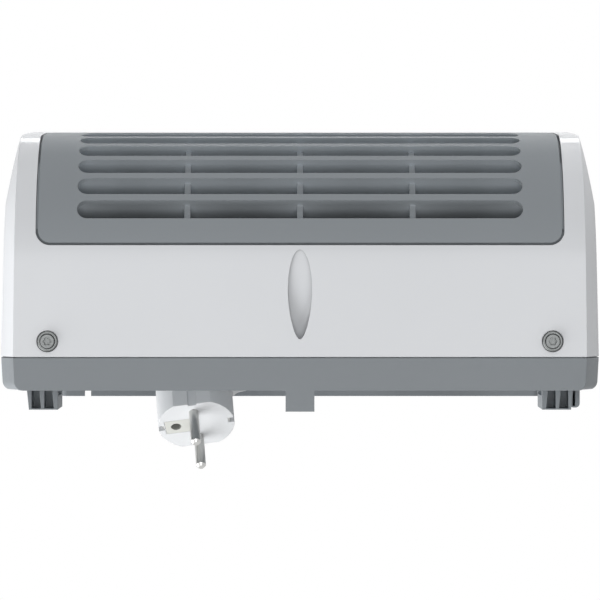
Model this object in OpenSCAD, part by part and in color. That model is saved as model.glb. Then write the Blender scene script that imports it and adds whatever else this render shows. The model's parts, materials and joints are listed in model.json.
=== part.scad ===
// Wall-mounted fan heater, with its wall bracket and its stowed mains lead.
// X runs across the heater, +Y points into the wall and +Z up.
// The origin is the centre of the bracket's four screw holes, on the wall.

/* [Casing] */
// Overall width
body_w = 275; // [265:1:290]
// Overall height
body_h = 470; // [460:1:500]
// From the wall to the flat part of the front
body_d = 127.8; // [126:0.1:136]
// Outward curve of the front at mid height
front_bulge = 4; // [1:0.1:5]
// From the wall to the rear rim
wall_gap = 9.6; // [8:0.1:12]
// From the wall to the joint between cover and rear housing
parting_d = 24.8; // [24.4:0.1:27]
// Width of the dark joint line
seam = 0.5; // [0.4:0.1:1]
// Wall thickness of cover and rear rim
shell_t = 2.5; // [2.2:0.1:3]
// Radius of the lower front edge
nose_r = 60; // [56:1:64]
// Radius of the two upper edges
crown_r = 20; // [16:1:24]
// From the top down to where the upper slope starts to turn
slope_h = 78; // [74:1:86]
// Slope of the control face from level
slope_angle = 54; // [50:1:58]
// Width of the side bevel
bevel_w = 6.2; // [4:0.2:8]
// Height of the side bevel
bevel_h = 14; // [10:1:18]
// From the wall to where the cheeks turn in
cheek_d = 95.2; // [90:0.2:100]
// How far each cheek has drawn in there
cheek_in = 1.8; // [1:0.1:3]
// From the wall to the front end of the cheeks
corner_d = 121.6; // [118:0.2:124]
// How far each cheek has drawn in there
corner_in = 6.4; // [6:0.1:9]
// Radius of the upright front edges
corner_r = 4.5; // [3:0.5:6]
// Radius of the upright rear edges
rear_r = 4.2; // [3:0.2:5]
// How far each side has drawn in at the rear rim
rim_in = 0.6; // [0:0.1:1.2]
// How far the bevel's lower edge has drawn in at the front
bevel_in = 1.3; // [0:0.1:2]

/* [Outlet grille] */
// Width of the outlet panel
grille_w = 239.8; // [232:0.2:242]
// Gap round the outlet panel
grille_gap = 1.1; // [0.6:0.1:1.6]
// From the wall to the panel's rear edge
grille_rear = 77.3; // [74:0.1:80]
// Height of the panel's top edge
grille_top = 105; // [103:1:112]
// Thickness of the panel's skin
grille_t = 3; // [2.5:0.1:3.5]
// Radius of the panel's corners
grille_corner = 5.5; // [4:0.5:8]
// Rows of outlet slots
slot_rows = 9; // [6:1:9]
// Height of a slot
slot_w = 9.1; // [7:0.1:9.4]
// Distance from slot to slot along the skin
slot_pitch = 12.42; // [11.8:0.02:12.6]
// Length of a slot
slot_len = 204.4; // [190:0.2:206]
// Along the skin from the nose's start to the first slot
slot_start = 25.7; // [24:0.1:27]
// Depth of a louvre blade
louvre_len = 14.5; // [12:0.5:15]
// Thickness of a louvre blade
louvre_t = 1.6; // [1.2:0.1:2]
// Lean of the louvre blades from upright
louvre_tilt = 35; // [30:1:40]
// Thickness of the upright ribs
grille_rib_t = 2.7; // [2:0.1:3.5]
// Distance from rib to rib
grille_rib_pitch = 51.7; // [48:0.1:55]
// Depth at which the ribs start
grille_rib_set = 4; // [3.2:0.2:5]
// Depth of the ribs behind the skin
grille_rib_h = 13; // [11:0.5:13]

/* [Recess] */
// From the wall to the recess's shallow end
scoop_front = 74.1; // [73:0.1:75]
// Length of the recess
scoop_len = 41; // [36:0.5:42]
// Width of the recess
scoop_w = 11; // [9:0.5:14]
// Depth of the recess at its shallow end
scoop_lip = 0.8; // [0.4:0.1:1.5]
// Depth of the recess at its wall end
scoop_depth = 6; // [4:0.5:7]

/* [Cover screws] */
// From the middle to each cover screw
screw_x = 115.6; // [113:0.2:117]
// From the wall to the cover screws
screw_y = 32.2; // [31:0.1:34]
// Diameter of the screw flange
screw_flange_d = 9.6; // [9:0.1:10.4]
// Gap round the screw flange
screw_gap = 0.2; // [0.1:0.1:0.4]
// Diameter of the screw head
screw_head_d = 7.2; // [6.5:0.1:8]
// Diameter of the screw shank
screw_d = 4; // [3:0.5:4.5]
// Length of the screw shank
screw_len = 15; // [12:1:18]

/* [Rear housing] */
// From the wall to the rear wall's outer face
tray_d = 22; // [21:0.2:22.4]
// Thickness of the rear wall
tray_t = 2.5; // [2:0.1:3]
// Height of the lip that the cover slides over
lip_len = 4.5; // [3:0.5:6]
// Thickness of the lip
lip_t = 2; // [1.6:0.1:2.4]
// Centre of each stand-off foot from the middle
foot_x = 119.25; // [117:0.05:121]
// Width of a stand-off foot
foot_w = 14.3; // [12:0.1:16]
// Height of the feet above the bottom
foot_z = 26; // [22:1:30]
// Length of a foot
foot_h = 45; // [40:1:55]
// Depth of the pockets in a foot
pocket_h = 16; // [12:1:24]
// Width of the middle stand-off
stud_w = 13.2; // [10:0.2:16]
// Length of the middle stand-off
stud_h = 18; // [12:1:24]
// Thickness of the small walls inside
rib_t = 2; // [1.6:0.1:2.4]

/* [Intake grille] */
// Width of the intake grille
intake_w = 200; // [180:2:210]
// From the wall to its rear edge
intake_rear = 34; // [33.5:0.5:36]
// From its front edge to where the top turns down
intake_front = 4; // [3.5:0.5:8]
// Number of intake slots
intake_slots = 20; // [14:1:22]
// Width of an intake slot
intake_slot_w = 5; // [3:0.5:6]

/* [Controls] */
// Width of the control panel
fascia_w = 168; // [150:2:180]
// Length of the control panel up the slope
fascia_l = 48; // [44:1:52]
// Corner radius of both inset panels
panel_r = 6; // [4:0.5:8]
// Gap round both inset panels
panel_gap = 0.4; // [0.2:0.1:0.6]
// Width of the flange behind both inset panels
flange_w = 3; // [2:0.5:4]
// Thickness of that flange
flange_t = 1.8; // [1.4:0.1:2.4]
// Diameter of a control knob
knob_d = 34; // [30:1:38]
// Height of a control knob
knob_h = 14; // [12:0.5:16]
// Width of a knob's grip bar
knob_bar = 8; // [6:0.5:10]
// Centre of each knob from the middle
knob_x = 46; // [42:1:52]
// Diameter of a control spindle
spindle_d = 6; // [5:0.5:7]
// Diameter of a control's neck
neck_d = 9.5; // [9:0.5:11]
// Diameter of the pilot lamp
lamp_d = 6; // [4:0.5:8]

/* [Fan] */
// From the wall to the fan axis
fan_y = 70; // [69:0.5:72]
// Height of the fan axis
fan_z = 150; // [148:1:156]
// Outer diameter of the fan wheel
fan_d = 60; // [56:1:62]
// Gap between each end of the wheel and the duct
fan_end_gap = 4; // [3:0.5:8]
// Blades round the fan wheel
fan_blades = 28; // [20:1:32]
// Thickness of a fan blade
fan_blade_t = 0.8; // [0.6:0.1:1.2]
// Depth of the blade ring
fan_ring = 6; // [5:0.5:8]
// Thickness of the wheel's discs
disc_t = 1.6; // [1.2:0.1:2]
// Diameter of the fan shaft
shaft_d = 5; // [4:0.5:6]
// Gap between the wheel and the duct
duct_gap = 4; // [3:0.5:5]
// Space beside the air duct, for the motor and the supports
duct_side = 41.5; // [39.5:0.5:42.5]
// Thickness of the duct sheet
duct_t = 1.5; // [1:0.1:2]

/* [Heating element] */
// Lower face of the element
element_z = 88; // [87:0.5:92]
// Height of the element
element_h = 18; // [14:1:20]
// Front to rear size of the element
element_l = 62; // [56:1:64]
// Thickness of the element's frame
frame_t = 1.5; // [1:0.1:2]
// Rows of heating bars
bar_rows = 3; // [2:1:3]
// Height of a heating bar
bar_h = 3; // [2:0.5:4]
// Pitch of the fin folds
fin_pitch = 6; // [5:0.5:8]
// Thickness of the fin strip
fin_t = 0.5; // [0.4:0.1:0.8]

/* [Motor] */
// Gap from the duct to the motor's core
motor_gap = 9; // [8:0.5:10]
// Thickness of the laminated core
core_t = 12; // [10:1:14]
// Width of the core
core_w = 48; // [44:1:52]
// Height of the core
core_h = 56; // [52:1:60]
// Diameter of the rotor
rotor_d = 26; // [22:1:28]
// Air gap round the rotor
rotor_gap = 0.4; // [0.3:0.1:0.6]
// Diameter of a plain bearing
bearing_d = 12; // [10:1:14]

/* [Wall bracket] */
// Width of the bracket
bracket_w = 239; // [230:1:244]
// Height of the bracket's lower edge
bracket_z = 221; // [216:1:226]
// Height of the bracket
bracket_h = 199; // [190:1:205]
// Thickness of the bracket
bracket_t = 3; // [2:0.2:4]
// Radius of the bracket's corners
bracket_r = 3; // [2:1:6]
// Width of the bracket's rails
rail_w = 29; // [26:1:32]
// Distance between the wall screws across
hole_dx = 160; // [140:1:170]
// Distance between the wall screws up and down
hole_dz = 170; // [160:1:174]
// Diameter of the wall screw holes
hole_d = 5.5; // [4.5:0.5:6.5]
// Centre of each hook from the middle
hook_x = 62; // [50:1:70]
// Width of a hook
hook_w = 24; // [18:1:28]

/* [Cord] */
// Diameter of the mains lead
cord_d = 7; // [6:0.1:7.2]
// Outer radius of the coil at the lead's centre
coil_r = 51; // [50:0.5:52]
// Distance from turn to turn
coil_pitch = 7.6; // [7.5:0.1:8]
// Distance between the coil's two layers
coil_layer = 7.5; // [7.5:0.1:7.8]
// Width of the cord tie
tie_w = 6; // [4:0.5:8]
// Thickness of the cord tie
tie_t = 0.8; // [0.6:0.1:1]

/* [Plug] */
// Diameter of the plug
plug_d = 37; // [36:0.5:39]
// Distance between the plug's two flats
plug_flat = 32.3; // [30:0.1:33]
// Length of the plug's body
plug_len = 30; // [28:0.5:31]
// Radius of the plug's rear edge
plug_r = 8; // [6:0.5:9]
// Diameter of a plug pin
pin_d = 4.8; // [4.7:0.1:4.9]
// Length of a plug pin
pin_len = 19; // [18.5:0.5:20]
// Distance between the two pins
pin_gap = 19; // [18.5:0.1:19.5]

/* [Hidden] */
$fn = 48;
// Small clearance between pieces that fit into each other
fit = 0.3;
// Radial clearance of a shaft in its bearing
run_fit = 0.05;
// Extra length with which a cutter passes a face
over = 1;
// Depth by which a piece of a solid reaches into the next
sink = 0.2;

white = [0.83, 0.84, 0.85];
grey = [0.50, 0.53, 0.55];
steel = [0.66, 0.67, 0.68];

// Heights and depths below are measured from the heater's lowest point and from the wall.
mount_z = bracket_z + bracket_h / 2;

// Side view, as [Y, Z]
back_y = 5;
nose_c = [nose_r - body_d, nose_r];
slope_z = body_h - slope_h;
crown_front = [crown_r - body_d, slope_z];
crown_rise = slope_h - crown_r;
crown_back = crown_front + [crown_rise / tan(slope_angle), crown_rise];
slope_n = [-sin(slope_angle), cos(slope_angle)];
intake_l = -crown_back[0] - intake_rear - intake_front;
bulge_h = slope_z - nose_r;
bulge_r = (pow(bulge_h / 2, 2) + pow(front_bulge, 2)) / (2 * front_bulge);

// Plan view, as [X, Y], right half
plan_front = body_d + front_bulge + over;
cheek_p = [body_w / 2 - cheek_in, -cheek_d];
corner_p = [body_w / 2 - corner_in, -corner_d];
cheek_u = (corner_p - cheek_p) / norm(corner_p - cheek_p);
cheek_n = [-cheek_u[1], cheek_u[0]];
corner_y = corner_r - plan_front;
corner_c = [(cheek_n * cheek_p - corner_r - cheek_n[1] * corner_y) / cheek_n[0], corner_y];

bevel_l = norm([bevel_w, bevel_h]);
lip_in = 1.8 + fit / 2;
duct_w = body_w - 2 * duct_side;
fan_len = duct_w - 2 * fan_end_gap;
cover_rear = -(parting_d + seam / 2);
band_front = -(parting_d - seam / 2);
tray_front = -(tray_d + tray_t);

// Puts what is drawn from the heater's foot into the frame of the wall screws.
module placed() {
    translate([0, 0, -mount_z]) children();
}

// Extrudes a [Y, Z] outline across the heater.
module across(w, x = 0) {
    translate([x - w / 2, 0, 0]) rotate([90, 0, 90]) linear_extrude(w) children();
}

// Cuts off what lies outside two depths.
module between_y(y0, y1) {
    intersection() {
        children();
        translate([-body_w, y0, -over]) cube([2 * body_w, y1 - y0, body_h + 2 * over]);
    }
}

// A rectangle with round corners, centred.
module round_rect(w, h, r) {
    square([w, h - 2 * r], center = true);
    square([w - 2 * r, h], center = true);
    for (x = [-1, 1], y = [-1, 1]) {
        translate([x * (w / 2 - r), y * (h / 2 - r)]) circle(r);
    }
}

function unit(v) = v / norm(v);
function side_step(p, i) = let(
    a = i == 0 ? unit(p[1] - p[0]) : unit(p[i] - p[i - 1]),
    b = i == len(p) - 1 ? a : unit(p[i + 1] - p[i]),
    m = unit(a + b)) [-m[1], m[0]] / (m * a);
// Outline of a sheet of thickness t bent along the points p.
function sheet(p, t) = concat(
    [for (i = [0 : len(p) - 1]) p[i] + side_step(p, i) * t / 2],
    [for (i = [len(p) - 1 : -1 : 0]) p[i] - side_step(p, i) * t / 2]);
function arc(c, r, a0, a1, n) = [for (i = [0 : n]) let(a = a0 + (a1 - a0) * i / n) c + r * [cos(a), sin(a)]];

// The casing's side view, drawn in by g.
module side_profile(g) {
    polygon([
        [back_y, g],
        [nose_c[0], g],
        nose_c - [nose_r - g, 0],
        crown_front - [crown_r - g, 0],
        crown_front + (crown_r - g) * slope_n,
        crown_back + (crown_r - g) * slope_n,
        [crown_back[0], body_h - g],
        [back_y, body_h - g]
    ]);
    translate(nose_c) circle(nose_r - g, $fn = 128);
    translate(crown_front) circle(crown_r - g);
    translate(crown_back) circle(crown_r - g);
    intersection() {
        translate([bulge_r - body_d - front_bulge + g, nose_r + bulge_h / 2]) circle(bulge_r, $fn = 1440);
        translate([-2 * body_d, nose_r]) square([2 * body_d - crown_r, bulge_h]);
    }
}

// The casing's plan view, drawn in by g, with its rear edge at depth rear.
module plan_outline(g, rear) {
    rim = body_w / 2 - g - rim_in;
    half = [
        [rim - rear_r, rear],
        [rim, rear - rear_r],
        [body_w / 2 - g, -parting_d],
        cheek_p - [g, 0],
        corner_c + (corner_r - g) * cheek_n,
        corner_c - [0, corner_r - g]
    ];
    polygon(concat(half, [for (i = [len(half) - 1 : -1 : 0]) [-half[i][0], half[i][1]]]));
    for (s = [-1, 1]) {
        translate([s * corner_c[0], corner_c[1]]) circle(corner_r - g);
        translate([s * (rim - rear_r), rear - rear_r]) circle(rear_r);
    }
}

// One end of the bevel: widest at the joint line, drawn in by d at the front, with round rear corners.
module bevel_slice(w, in, rear, d) {
    rim = w / 2 - rim_in;
    far_d = d * (2 * body_d - parting_d) / (body_d - parting_d);
    half = [[rim - rear_r, rear], [rim, rear - rear_r], [w / 2, -parting_d], [w / 2 - far_d, -2 * body_d]];
    intersection() {
        across(w) side_profile(in);
        translate([0, 0, -2 * over]) linear_extrude(body_h + 4 * over) {
            polygon(concat(half, [for (i = [len(half) - 1 : -1 : 0]) [-half[i][0], half[i][1]]]));
            for (s = [-1, 1]) {
                translate([s * (rim - rear_r), rear - rear_r]) circle(rear_r);
            }
        }
    }
}

// The sloped sides, drawn in by g. Its other faces lie outside the side view.
module bevel_block(g, rear) {
    near_w = body_w - 2 * bevel_w - 2 * g * (bevel_l - bevel_w) / bevel_h;
    far_in = bevel_h + g * (bevel_l - bevel_h) / bevel_w;
    hull() {
        bevel_slice(near_w - 2 * over * bevel_w / bevel_h, g - over, rear, bevel_in);
        bevel_slice(body_w - 2 * g + 2 * over, far_in + over * bevel_h / bevel_w, rear, 0);
    }
}

// The casing's solid form, drawn in by g.
module casing(g, rear = -wall_gap) {
    intersection() {
        across(body_w + 2 * over) side_profile(g);
        translate([0, 0, -over]) linear_extrude(body_h + 2 * over) plan_outline(g, rear);
        bevel_block(g, rear);
    }
}

// The region of the outlet panel, grown by g beyond the panel's edge.
module grille_zone(g) {
    w = grille_w + 2 * g;
    deep = 2 * (body_d - grille_rear);
    tall = 2 * (grille_top + g);
    intersection() {
        translate([0, -grille_rear + g - deep / 2, -over])
            linear_extrude(grille_top + g + over) round_rect(w, deep, grille_corner + g);
        translate([0, over, 0]) rotate([90, 0, 0])
            linear_extrude(2 * body_d) round_rect(w, tall, grille_corner + g);
    }
}

// Moves its children to a point on the control slope, with +Z out of the face.
slope_mid = (crown_front + crown_back) / 2 + crown_r * slope_n;
module on_slope(x = 0, up = 0) {
    translate([x, slope_mid[0], slope_mid[1]]) rotate([slope_angle, 0, 0]) translate([0, up, 0]) children();
}
intake_mid = -(intake_rear + intake_l / 2);
module on_top() {
    translate([0, intake_mid, body_h]) children();
}

// An inset panel with its face at zero, and a flange behind the shell.
module inset_panel(w, l) {
    translate([0, 0, -shell_t - over / 2]) linear_extrude(shell_t + over / 2) round_rect(w, l, panel_r);
    translate([0, 0, -shell_t - fit - flange_t])
        linear_extrude(flange_t) round_rect(w + 2 * flange_w, l + 2 * flange_w, panel_r + flange_w);
}
module panel_cut(w, l) {
    translate([0, 0, -2 * shell_t])
        linear_extrude(3 * shell_t) round_rect(w + 2 * panel_gap, l + 2 * panel_gap, panel_r + panel_gap);
}

// The leaf outline of the recess under the cover, grown by g: blunt in front, more pointed at the wall end.
scoop_steps = 20;
function scoop_half(u) = pow(sin(180 * pow(u, 0.85)), 0.54);
module scoop_outline(g) {
    side = [for (i = [0 : scoop_steps]) let(u = (1 - cos(180 * i / scoop_steps)) / 2)
        [(scoop_w / 2 + g) * scoop_half(u), u * (scoop_len + 2 * g) - scoop_front - g]];
    polygon(concat(side, [for (i = [scoop_steps - 1 : -1 : 1]) [-side[i][0], side[i][1]]]));
}
// What the recess takes away, grown by g and reaching deeper by g.
module scoop_void(g) {
    fall = scoop_depth - scoop_lip;
    floor_r = scoop_len * scoop_len / (2 * fall) + fall / 2;
    difference() {
        translate([0, 0, -over]) linear_extrude(scoop_depth + g + over) scoop_outline(g);
        translate([-scoop_w, -scoop_front, floor_r + scoop_lip + g]) rotate([0, 90, 0])
            cylinder(r = floor_r, h = 2 * scoop_w, $fn = 256);
    }
}

flange_z = 0.8;
module screw_sites() {
    for (s = [-1, 1]) {
        translate([s * screw_x, -screw_y, 0]) children();
    }
}

// Front cover: a shell with the recess, the openings and the screw holes.
module front_cover() {
    color(white) placed() difference() {
        union() {
            between_y(-plan_front - over, cover_rear) difference() {
                casing(0);
                casing(shell_t, back_y);
            }
            intersection() {
                casing(shell_t / 2);
                scoop_void(shell_t);
            }
        }
        between_y(-(parting_d + lip_len + fit), 0) casing(lip_in - fit, back_y);
        grille_opening();
        scoop_void(0);
        screw_sites() {
            translate([0, 0, -over]) cylinder(d = screw_flange_d + 2 * screw_gap, h = flange_z + over);
            cylinder(d = screw_d + 4 * fit, h = 3 * shell_t);
        }
        on_slope() panel_cut(fascia_w, fascia_l);
        on_top() panel_cut(intake_w, intake_l);
    }
}
module grille_opening() {
    difference() {
        grille_zone(grille_gap);
        across(2 * body_w) translate(nose_c) circle(nose_r - 2 * shell_t - grille_rib_h);
    }
}

// Stand-off foot with two pockets that open downwards, drawn for the +X side.
foot_wall = 2.2;
foot_draft = 1;
pocket_w = 3.5;
pocket_pitch = 5.9;
pocket_draft = 0.85;
pocket_end = 0.6;
window_d = 1.6;
window_y = 6.2;
window_z = 8;
window_h = 34;
module foot() {
    translate([foot_x, 0, foot_z]) difference() {
        linear_extrude(foot_h) polygon([
            [-foot_w / 2, -tray_d - rib_t], [foot_w / 2, -tray_d - rib_t],
            [foot_w / 2, -wall_gap], [foot_w / 2 - foot_draft, 0], [-foot_w / 2, 0]]);
        for (i = [0, 1]) {
            x = foot_w / 2 - foot_wall - pocket_w / 2 - i * pocket_pitch;
            translate([x, 0, -over]) linear_extrude(pocket_h + over) polygon([
                [-pocket_w / 2, -tray_d + rib_t], [pocket_w / 2, -tray_d + rib_t],
                [pocket_w / 2, -pocket_end], [-pocket_w / 2 - pocket_draft, -pocket_end],
                [-pocket_w / 2, -wall_gap]]);
        }
        translate([-foot_w / 2 - over, -tray_d + rib_t, window_z])
            cube([over + window_d, tray_d - rib_t - window_y, window_h]);
    }
}
// Clip beside the right foot, with a blind slit.
module side_clip() {
    clip_x = foot_x + foot_w / 2 - foot_wall / 2;
    clip_w = 4.9;
    slit = 1.2;
    slit_x = clip_w / 2 - 0.9;
    clip_h = 17;
    edge_r = 2;
    clip_end = 0.5;
    translate([clip_x, 0, foot_z + foot_h / 3 - over]) difference() {
        linear_extrude(clip_h) union() {
            translate([0, -tray_d - rib_t]) square([clip_w, tray_d + rib_t - edge_r - clip_end]);
            translate([edge_r, -edge_r - clip_end]) circle(edge_r);
            translate([clip_w - edge_r, -edge_r - clip_end]) circle(edge_r);
            translate([edge_r, -tray_d]) square([clip_w - 2 * edge_r, tray_d - clip_end]);
        }
        translate([slit_x, -tray_d, -over]) cube([slit, tray_d - clip_end - 0.8, clip_h - rib_t + over]);
    }
}

// Raised box round the lead's entry, and the peg that carries the stowed coil.
coil_c = [27 + coil_r, 225];
layer_y = [-tray_d + 1.3 + cord_d / 2, -tray_d + 1.3 + cord_d / 2 + coil_layer];
lead_x = coil_c[0] - coil_r;
gland_z = 300;
gland_w = 20;
gland_h = 50;
relief_d = 12;
neck_of_relief = relief_d - 3;
entry_y = -tray_d + relief_d / 2 + 0.5;
gland_y = entry_y + relief_d / 2 + fit + rib_t;
module gland_box(g) {
    translate([lead_x - gland_w / 2 + g, -tray_d - tray_t + (g > 0 ? -over : 0), gland_z + g])
        cube([gland_w - 2 * g, gland_y + tray_d + tray_t - g + (g > 0 ? over : 0), gland_h - 2 * g]);
}
peg_y = bracket_t + 1;
peg_t = 2.5;
peg_span = 70;
peg_lip_span = 20;
peg_lip_t = 1.5;
module cord_peg() {
    peg_r = coil_rad(mid_turn) - cord_d / 2 - 1;
    translate([coil_c[0], 0, coil_c[1]]) rotate([90, 0, 0]) {
        rotate([0, 0, 90 - peg_span / 2]) rotate_extrude(angle = peg_span)
            translate([peg_r - peg_t, peg_y]) square([peg_t, tray_d + rib_t - peg_y]);
        rotate([0, 0, 90 - peg_lip_span / 2]) rotate_extrude(angle = peg_lip_span)
            translate([peg_r - peg_t / 2, peg_y + fit]) square([peg_t / 2 + cord_d + 1, peg_lip_t]);
    }
}

// Screw boss behind each cover screw.
boss_r = 6.5;
boss_z = shell_t + fit;
module screw_boss() {
    translate([0, 0, boss_z]) cylinder(r = boss_r, h = screw_len);
    translate([-boss_r, 0, boss_z]) cube([2 * boss_r, screw_y + tray_front + rib_t, screw_len]);
}

hook_z = bracket_z + bracket_h - rail_w / 2 - 5;
hook_t = bracket_t;
module hook_slots() {
    for (s = [-1, 1]) {
        translate([s * hook_x - hook_w / 2 - fit, tray_front - over, hook_z - 3 * hook_t])
            cube([hook_w + 2 * fit, tray_t + 2 * over, 4 * hook_t]);
    }
}

module rear_housing() {
    color(grey) placed() difference() {
        union() {
            between_y(band_front, 0) difference() {
                casing(0);
                casing(shell_t, back_y);
            }
            difference() {
                between_y(-(parting_d + lip_len), -tray_d) casing(lip_in, back_y);
                between_y(-body_d, tray_front) casing(lip_in + lip_t, back_y);
            }
            foot();
            mirror([1, 0, 0]) foot();
            side_clip();
            translate([-stud_w / 2, -tray_d - rib_t, 0]) cube([stud_w, tray_d + rib_t, stud_h]);
            screw_sites() screw_boss();
            gland_box(0);
            cord_peg();
            duct_sites() translate([0, tray_front - duct_pad, 0]) rotate([-90, 0, 0])
                cylinder(r = 5, h = duct_pad + rib_t);
            terminal_sites() translate([0, tray_front - duct_pad, 0]) rotate([-90, 0, 0])
                cylinder(r = 4, h = duct_pad + rib_t);
        }
        screw_sites() translate([0, 0, boss_z - over])
            cylinder(d = screw_d + 2 * run_fit, h = screw_len + 2 * over);
        gland_box(rib_t);
        translate([lead_x, entry_y, gland_z - over])
            cylinder(d = neck_of_relief + 2 * fit, h = rib_t + 2 * over);
        hook_slots();
        duct_sites() bolt_hole(duct_screw_d);
        terminal_sites() bolt_hole(duct_screw_d);
    }
}
duct_pad = 4;
duct_screw_d = 3;
module bolt_hole(d) {
    translate([0, tray_front - duct_pad - over, 0]) rotate([-90, 0, 0])
        cylinder(d = d + 2 * run_fit, h = duct_pad + over);
}

// Outlet panel: skin, slots, ribs, louvres and the flange behind the cover.
function along_nose(s) = s / nose_r * 180 / PI;
quarter = nose_r * PI / 2;
// Point on the casing's lower front skin at distance s along it, drawn in by g, and the way inward there.
function skin_in(s) = s < quarter ? [sin(along_nose(s)), cos(along_nose(s))] : [1, 0];
function skin_at(s, g) = s < quarter
    ? nose_c - (nose_r - g) * skin_in(s)
    : [g - body_d, nose_r + s - quarter];
function turn_at(s) = s < quarter ? along_nose(s) : 90;
module ring_zone(g0, g1, w, wide = 0) {
    intersection() {
        difference() {
            across(w) side_profile(g0);
            across(w + over) side_profile(g1);
        }
        grille_zone(wide);
    }
}
// Outline of a slot seen along the louvres, h high.
slot_steps = 12;
module slot_outline(h) {
    half_l = (slot_len - slot_w) / 2;
    polygon([for (s = [1, -1], i = [0 : slot_steps]) let(a = 180 * i / slot_steps - 90)
        s * [half_l + slot_w / 2 * cos(a), h / 2 * sin(a)]]);
}
// Cuts one slot through the skin, parallel to the louvres.
module slot_cut(s) {
    p = skin_at(s, 0);
    lean = turn_at(s) - louvre_tilt;
    reach = slot_w / 2 * abs(sin(lean));
    out = over + front_bulge / cos(lean) + reach;
    translate([0, p[0], p[1]]) rotate([-louvre_tilt, 0, 0]) translate([0, 0, -out])
        linear_extrude(out + (grille_t + fit) / cos(lean) + reach) slot_outline(slot_w * cos(lean));
}
// Blade whose lower face carries on from the slot's upper edge.
louvre_root = 2.4;
louvre_u = [sin(louvre_tilt), cos(louvre_tilt)];
louvre_n = [-cos(louvre_tilt), sin(louvre_tilt)];
module louvre(s) {
    lean = turn_at(s) - louvre_tilt;
    face = slot_w / 2 * cos(lean) + sink / 4;
    in = slot_w / 2 * sin(lean) + louvre_root;
    root = skin_at(s, 0) + (face + louvre_t / 2) * louvre_n + in * louvre_u;
    across(slot_len + 2 * louvre_t) polygon(sheet([root, root + louvre_len * louvre_u], louvre_t));
}
// Step at each side of the panel that nearly fills the gap there.
step_set = 0.8;
step_w = 2;
step_gap = 0.25;
step_y = [-114, -83.5];
module side_step_piece() {
    translate([grille_w / 2 + grille_gap - step_gap - step_w / 2, 0, 0])
        between_y(step_y[0], step_y[1]) ring_zone(step_set, grille_t, step_w);
}
module outlet_grille() {
    color(grey) placed() {
        difference() {
            union() {
                ring_zone(0, grille_t, body_w);
                difference() {
                    ring_zone(shell_t + fit, shell_t + fit + flange_t,
                        grille_w + 2 * grille_gap + 2 * flange_w, grille_gap + flange_w);
                    grille_zone(-flange_w);
                }
            }
            for (i = [0 : slot_rows - 1]) {
                slot_cut(slot_start + i * slot_pitch);
            }
        }
        for (i = [0 : slot_rows - 1]) {
            louvre(slot_start + i * slot_pitch);
        }
        for (x = [-1, 0, 1]) {
            translate([x * grille_rib_pitch, 0, 0])
                ring_zone(grille_rib_set, grille_t + grille_rib_h, grille_rib_t);
        }
        for (s = [-1, 1]) {
            translate([s * (slot_len / 2 + louvre_t), 0, 0])
                ring_zone(grille_t - sink, grille_t + grille_rib_h, louvre_t);
        }
        side_step_piece();
        mirror([1, 0, 0]) side_step_piece();
    }
}
module intake_grille() {
    pitch = (intake_w - 2 * panel_r) / intake_slots;
    color(grey) placed() on_top() difference() {
        inset_panel(intake_w, intake_l);
        for (i = [0 : intake_slots - 1]) {
            translate([(i - (intake_slots - 1) / 2) * pitch, 0, -3 * shell_t])
                linear_extrude(4 * shell_t)
                    round_rect(intake_slot_w, intake_l - panel_r, intake_slot_w / 2 - 0.1);
        }
    }
}

// Control panel with its two necks' holes and the lamp hole.
lamp_up = 8;
module control_fascia() {
    color(grey) placed() on_slope() difference() {
        inset_panel(fascia_w, fascia_l);
        for (s = [-1, 1]) {
            translate([s * knob_x, 0, -3 * shell_t]) cylinder(d = neck_d + 2 * fit, h = 4 * shell_t);
        }
        translate([0, lamp_up, -3 * shell_t]) cylinder(d = lamp_d + fit, h = 4 * shell_t);
    }
}
knob_gap = 0.6;
knob_bore = 9;
module knob() {
    translate([0, 0, knob_gap]) difference() {
        union() {
            rotate_extrude($fn = 96) polygon([
                [0, 0], [knob_d / 2, 0], [knob_d / 2, 2.5], [knob_d / 2 - 1, 3.5],
                [knob_d / 2 - 3, 4.2], [knob_d / 2 - 4.5, 5.5], [0, 5.5]]);
            intersection() {
                translate([-knob_bar / 2, -knob_d, 0]) cube([knob_bar, 2 * knob_d, knob_h]);
                rotate_extrude($fn = 96) polygon([[0, 0], [knob_d / 2 - 1, 0], [knob_d / 2 - 1.5, 3],
                    [knob_d / 2 - 3.5, knob_h - 1.5], [knob_d / 2 - 5, knob_h], [0, knob_h]]);
            }
        }
        translate([0, 0, -over]) cylinder(d = spindle_d + 2 * run_fit, h = knob_bore + over);
        translate([0, 0, -over]) cylinder(d = neck_d + 2, h = over + 1.2);
        translate([-0.6, knob_d / 2 - 11, knob_h - 0.8]) cube([1.2, 8, 2]);
    }
}
module thermostat_knob() {
    color(white) placed() on_slope(knob_x) knob();
}
module mode_knob() {
    color(white) placed() on_slope(-knob_x) knob();
}
control_top = -shell_t - fit - flange_t;
spindle_in = 8;
module spindle() {
    low = control_top - spindle_in;
    translate([0, 0, low]) cylinder(d = spindle_d, h = knob_gap + knob_bore - fit - low);
}
module thermostat_spindle() {
    color(steel) placed() on_slope(knob_x) spindle();
}
module mode_spindle() {
    color(steel) placed() on_slope(-knob_x) spindle();
}
stat_w = 30;
stat_l = 26;
stat_h = 18;
switch_r = 15;
switch_h = 20;
tag_w = 6;
tag_l = 4;
tag_t = 0.8;
module control_neck() {
    difference() {
        union() {
            translate([0, 0, control_top - over]) cylinder(d = neck_d, h = over - control_top + 0.3);
            children();
        }
        translate([0, 0, control_top - spindle_in - fit])
            cylinder(d = spindle_d + 2 * run_fit, h = spindle_in + 2 * knob_h);
    }
}
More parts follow.
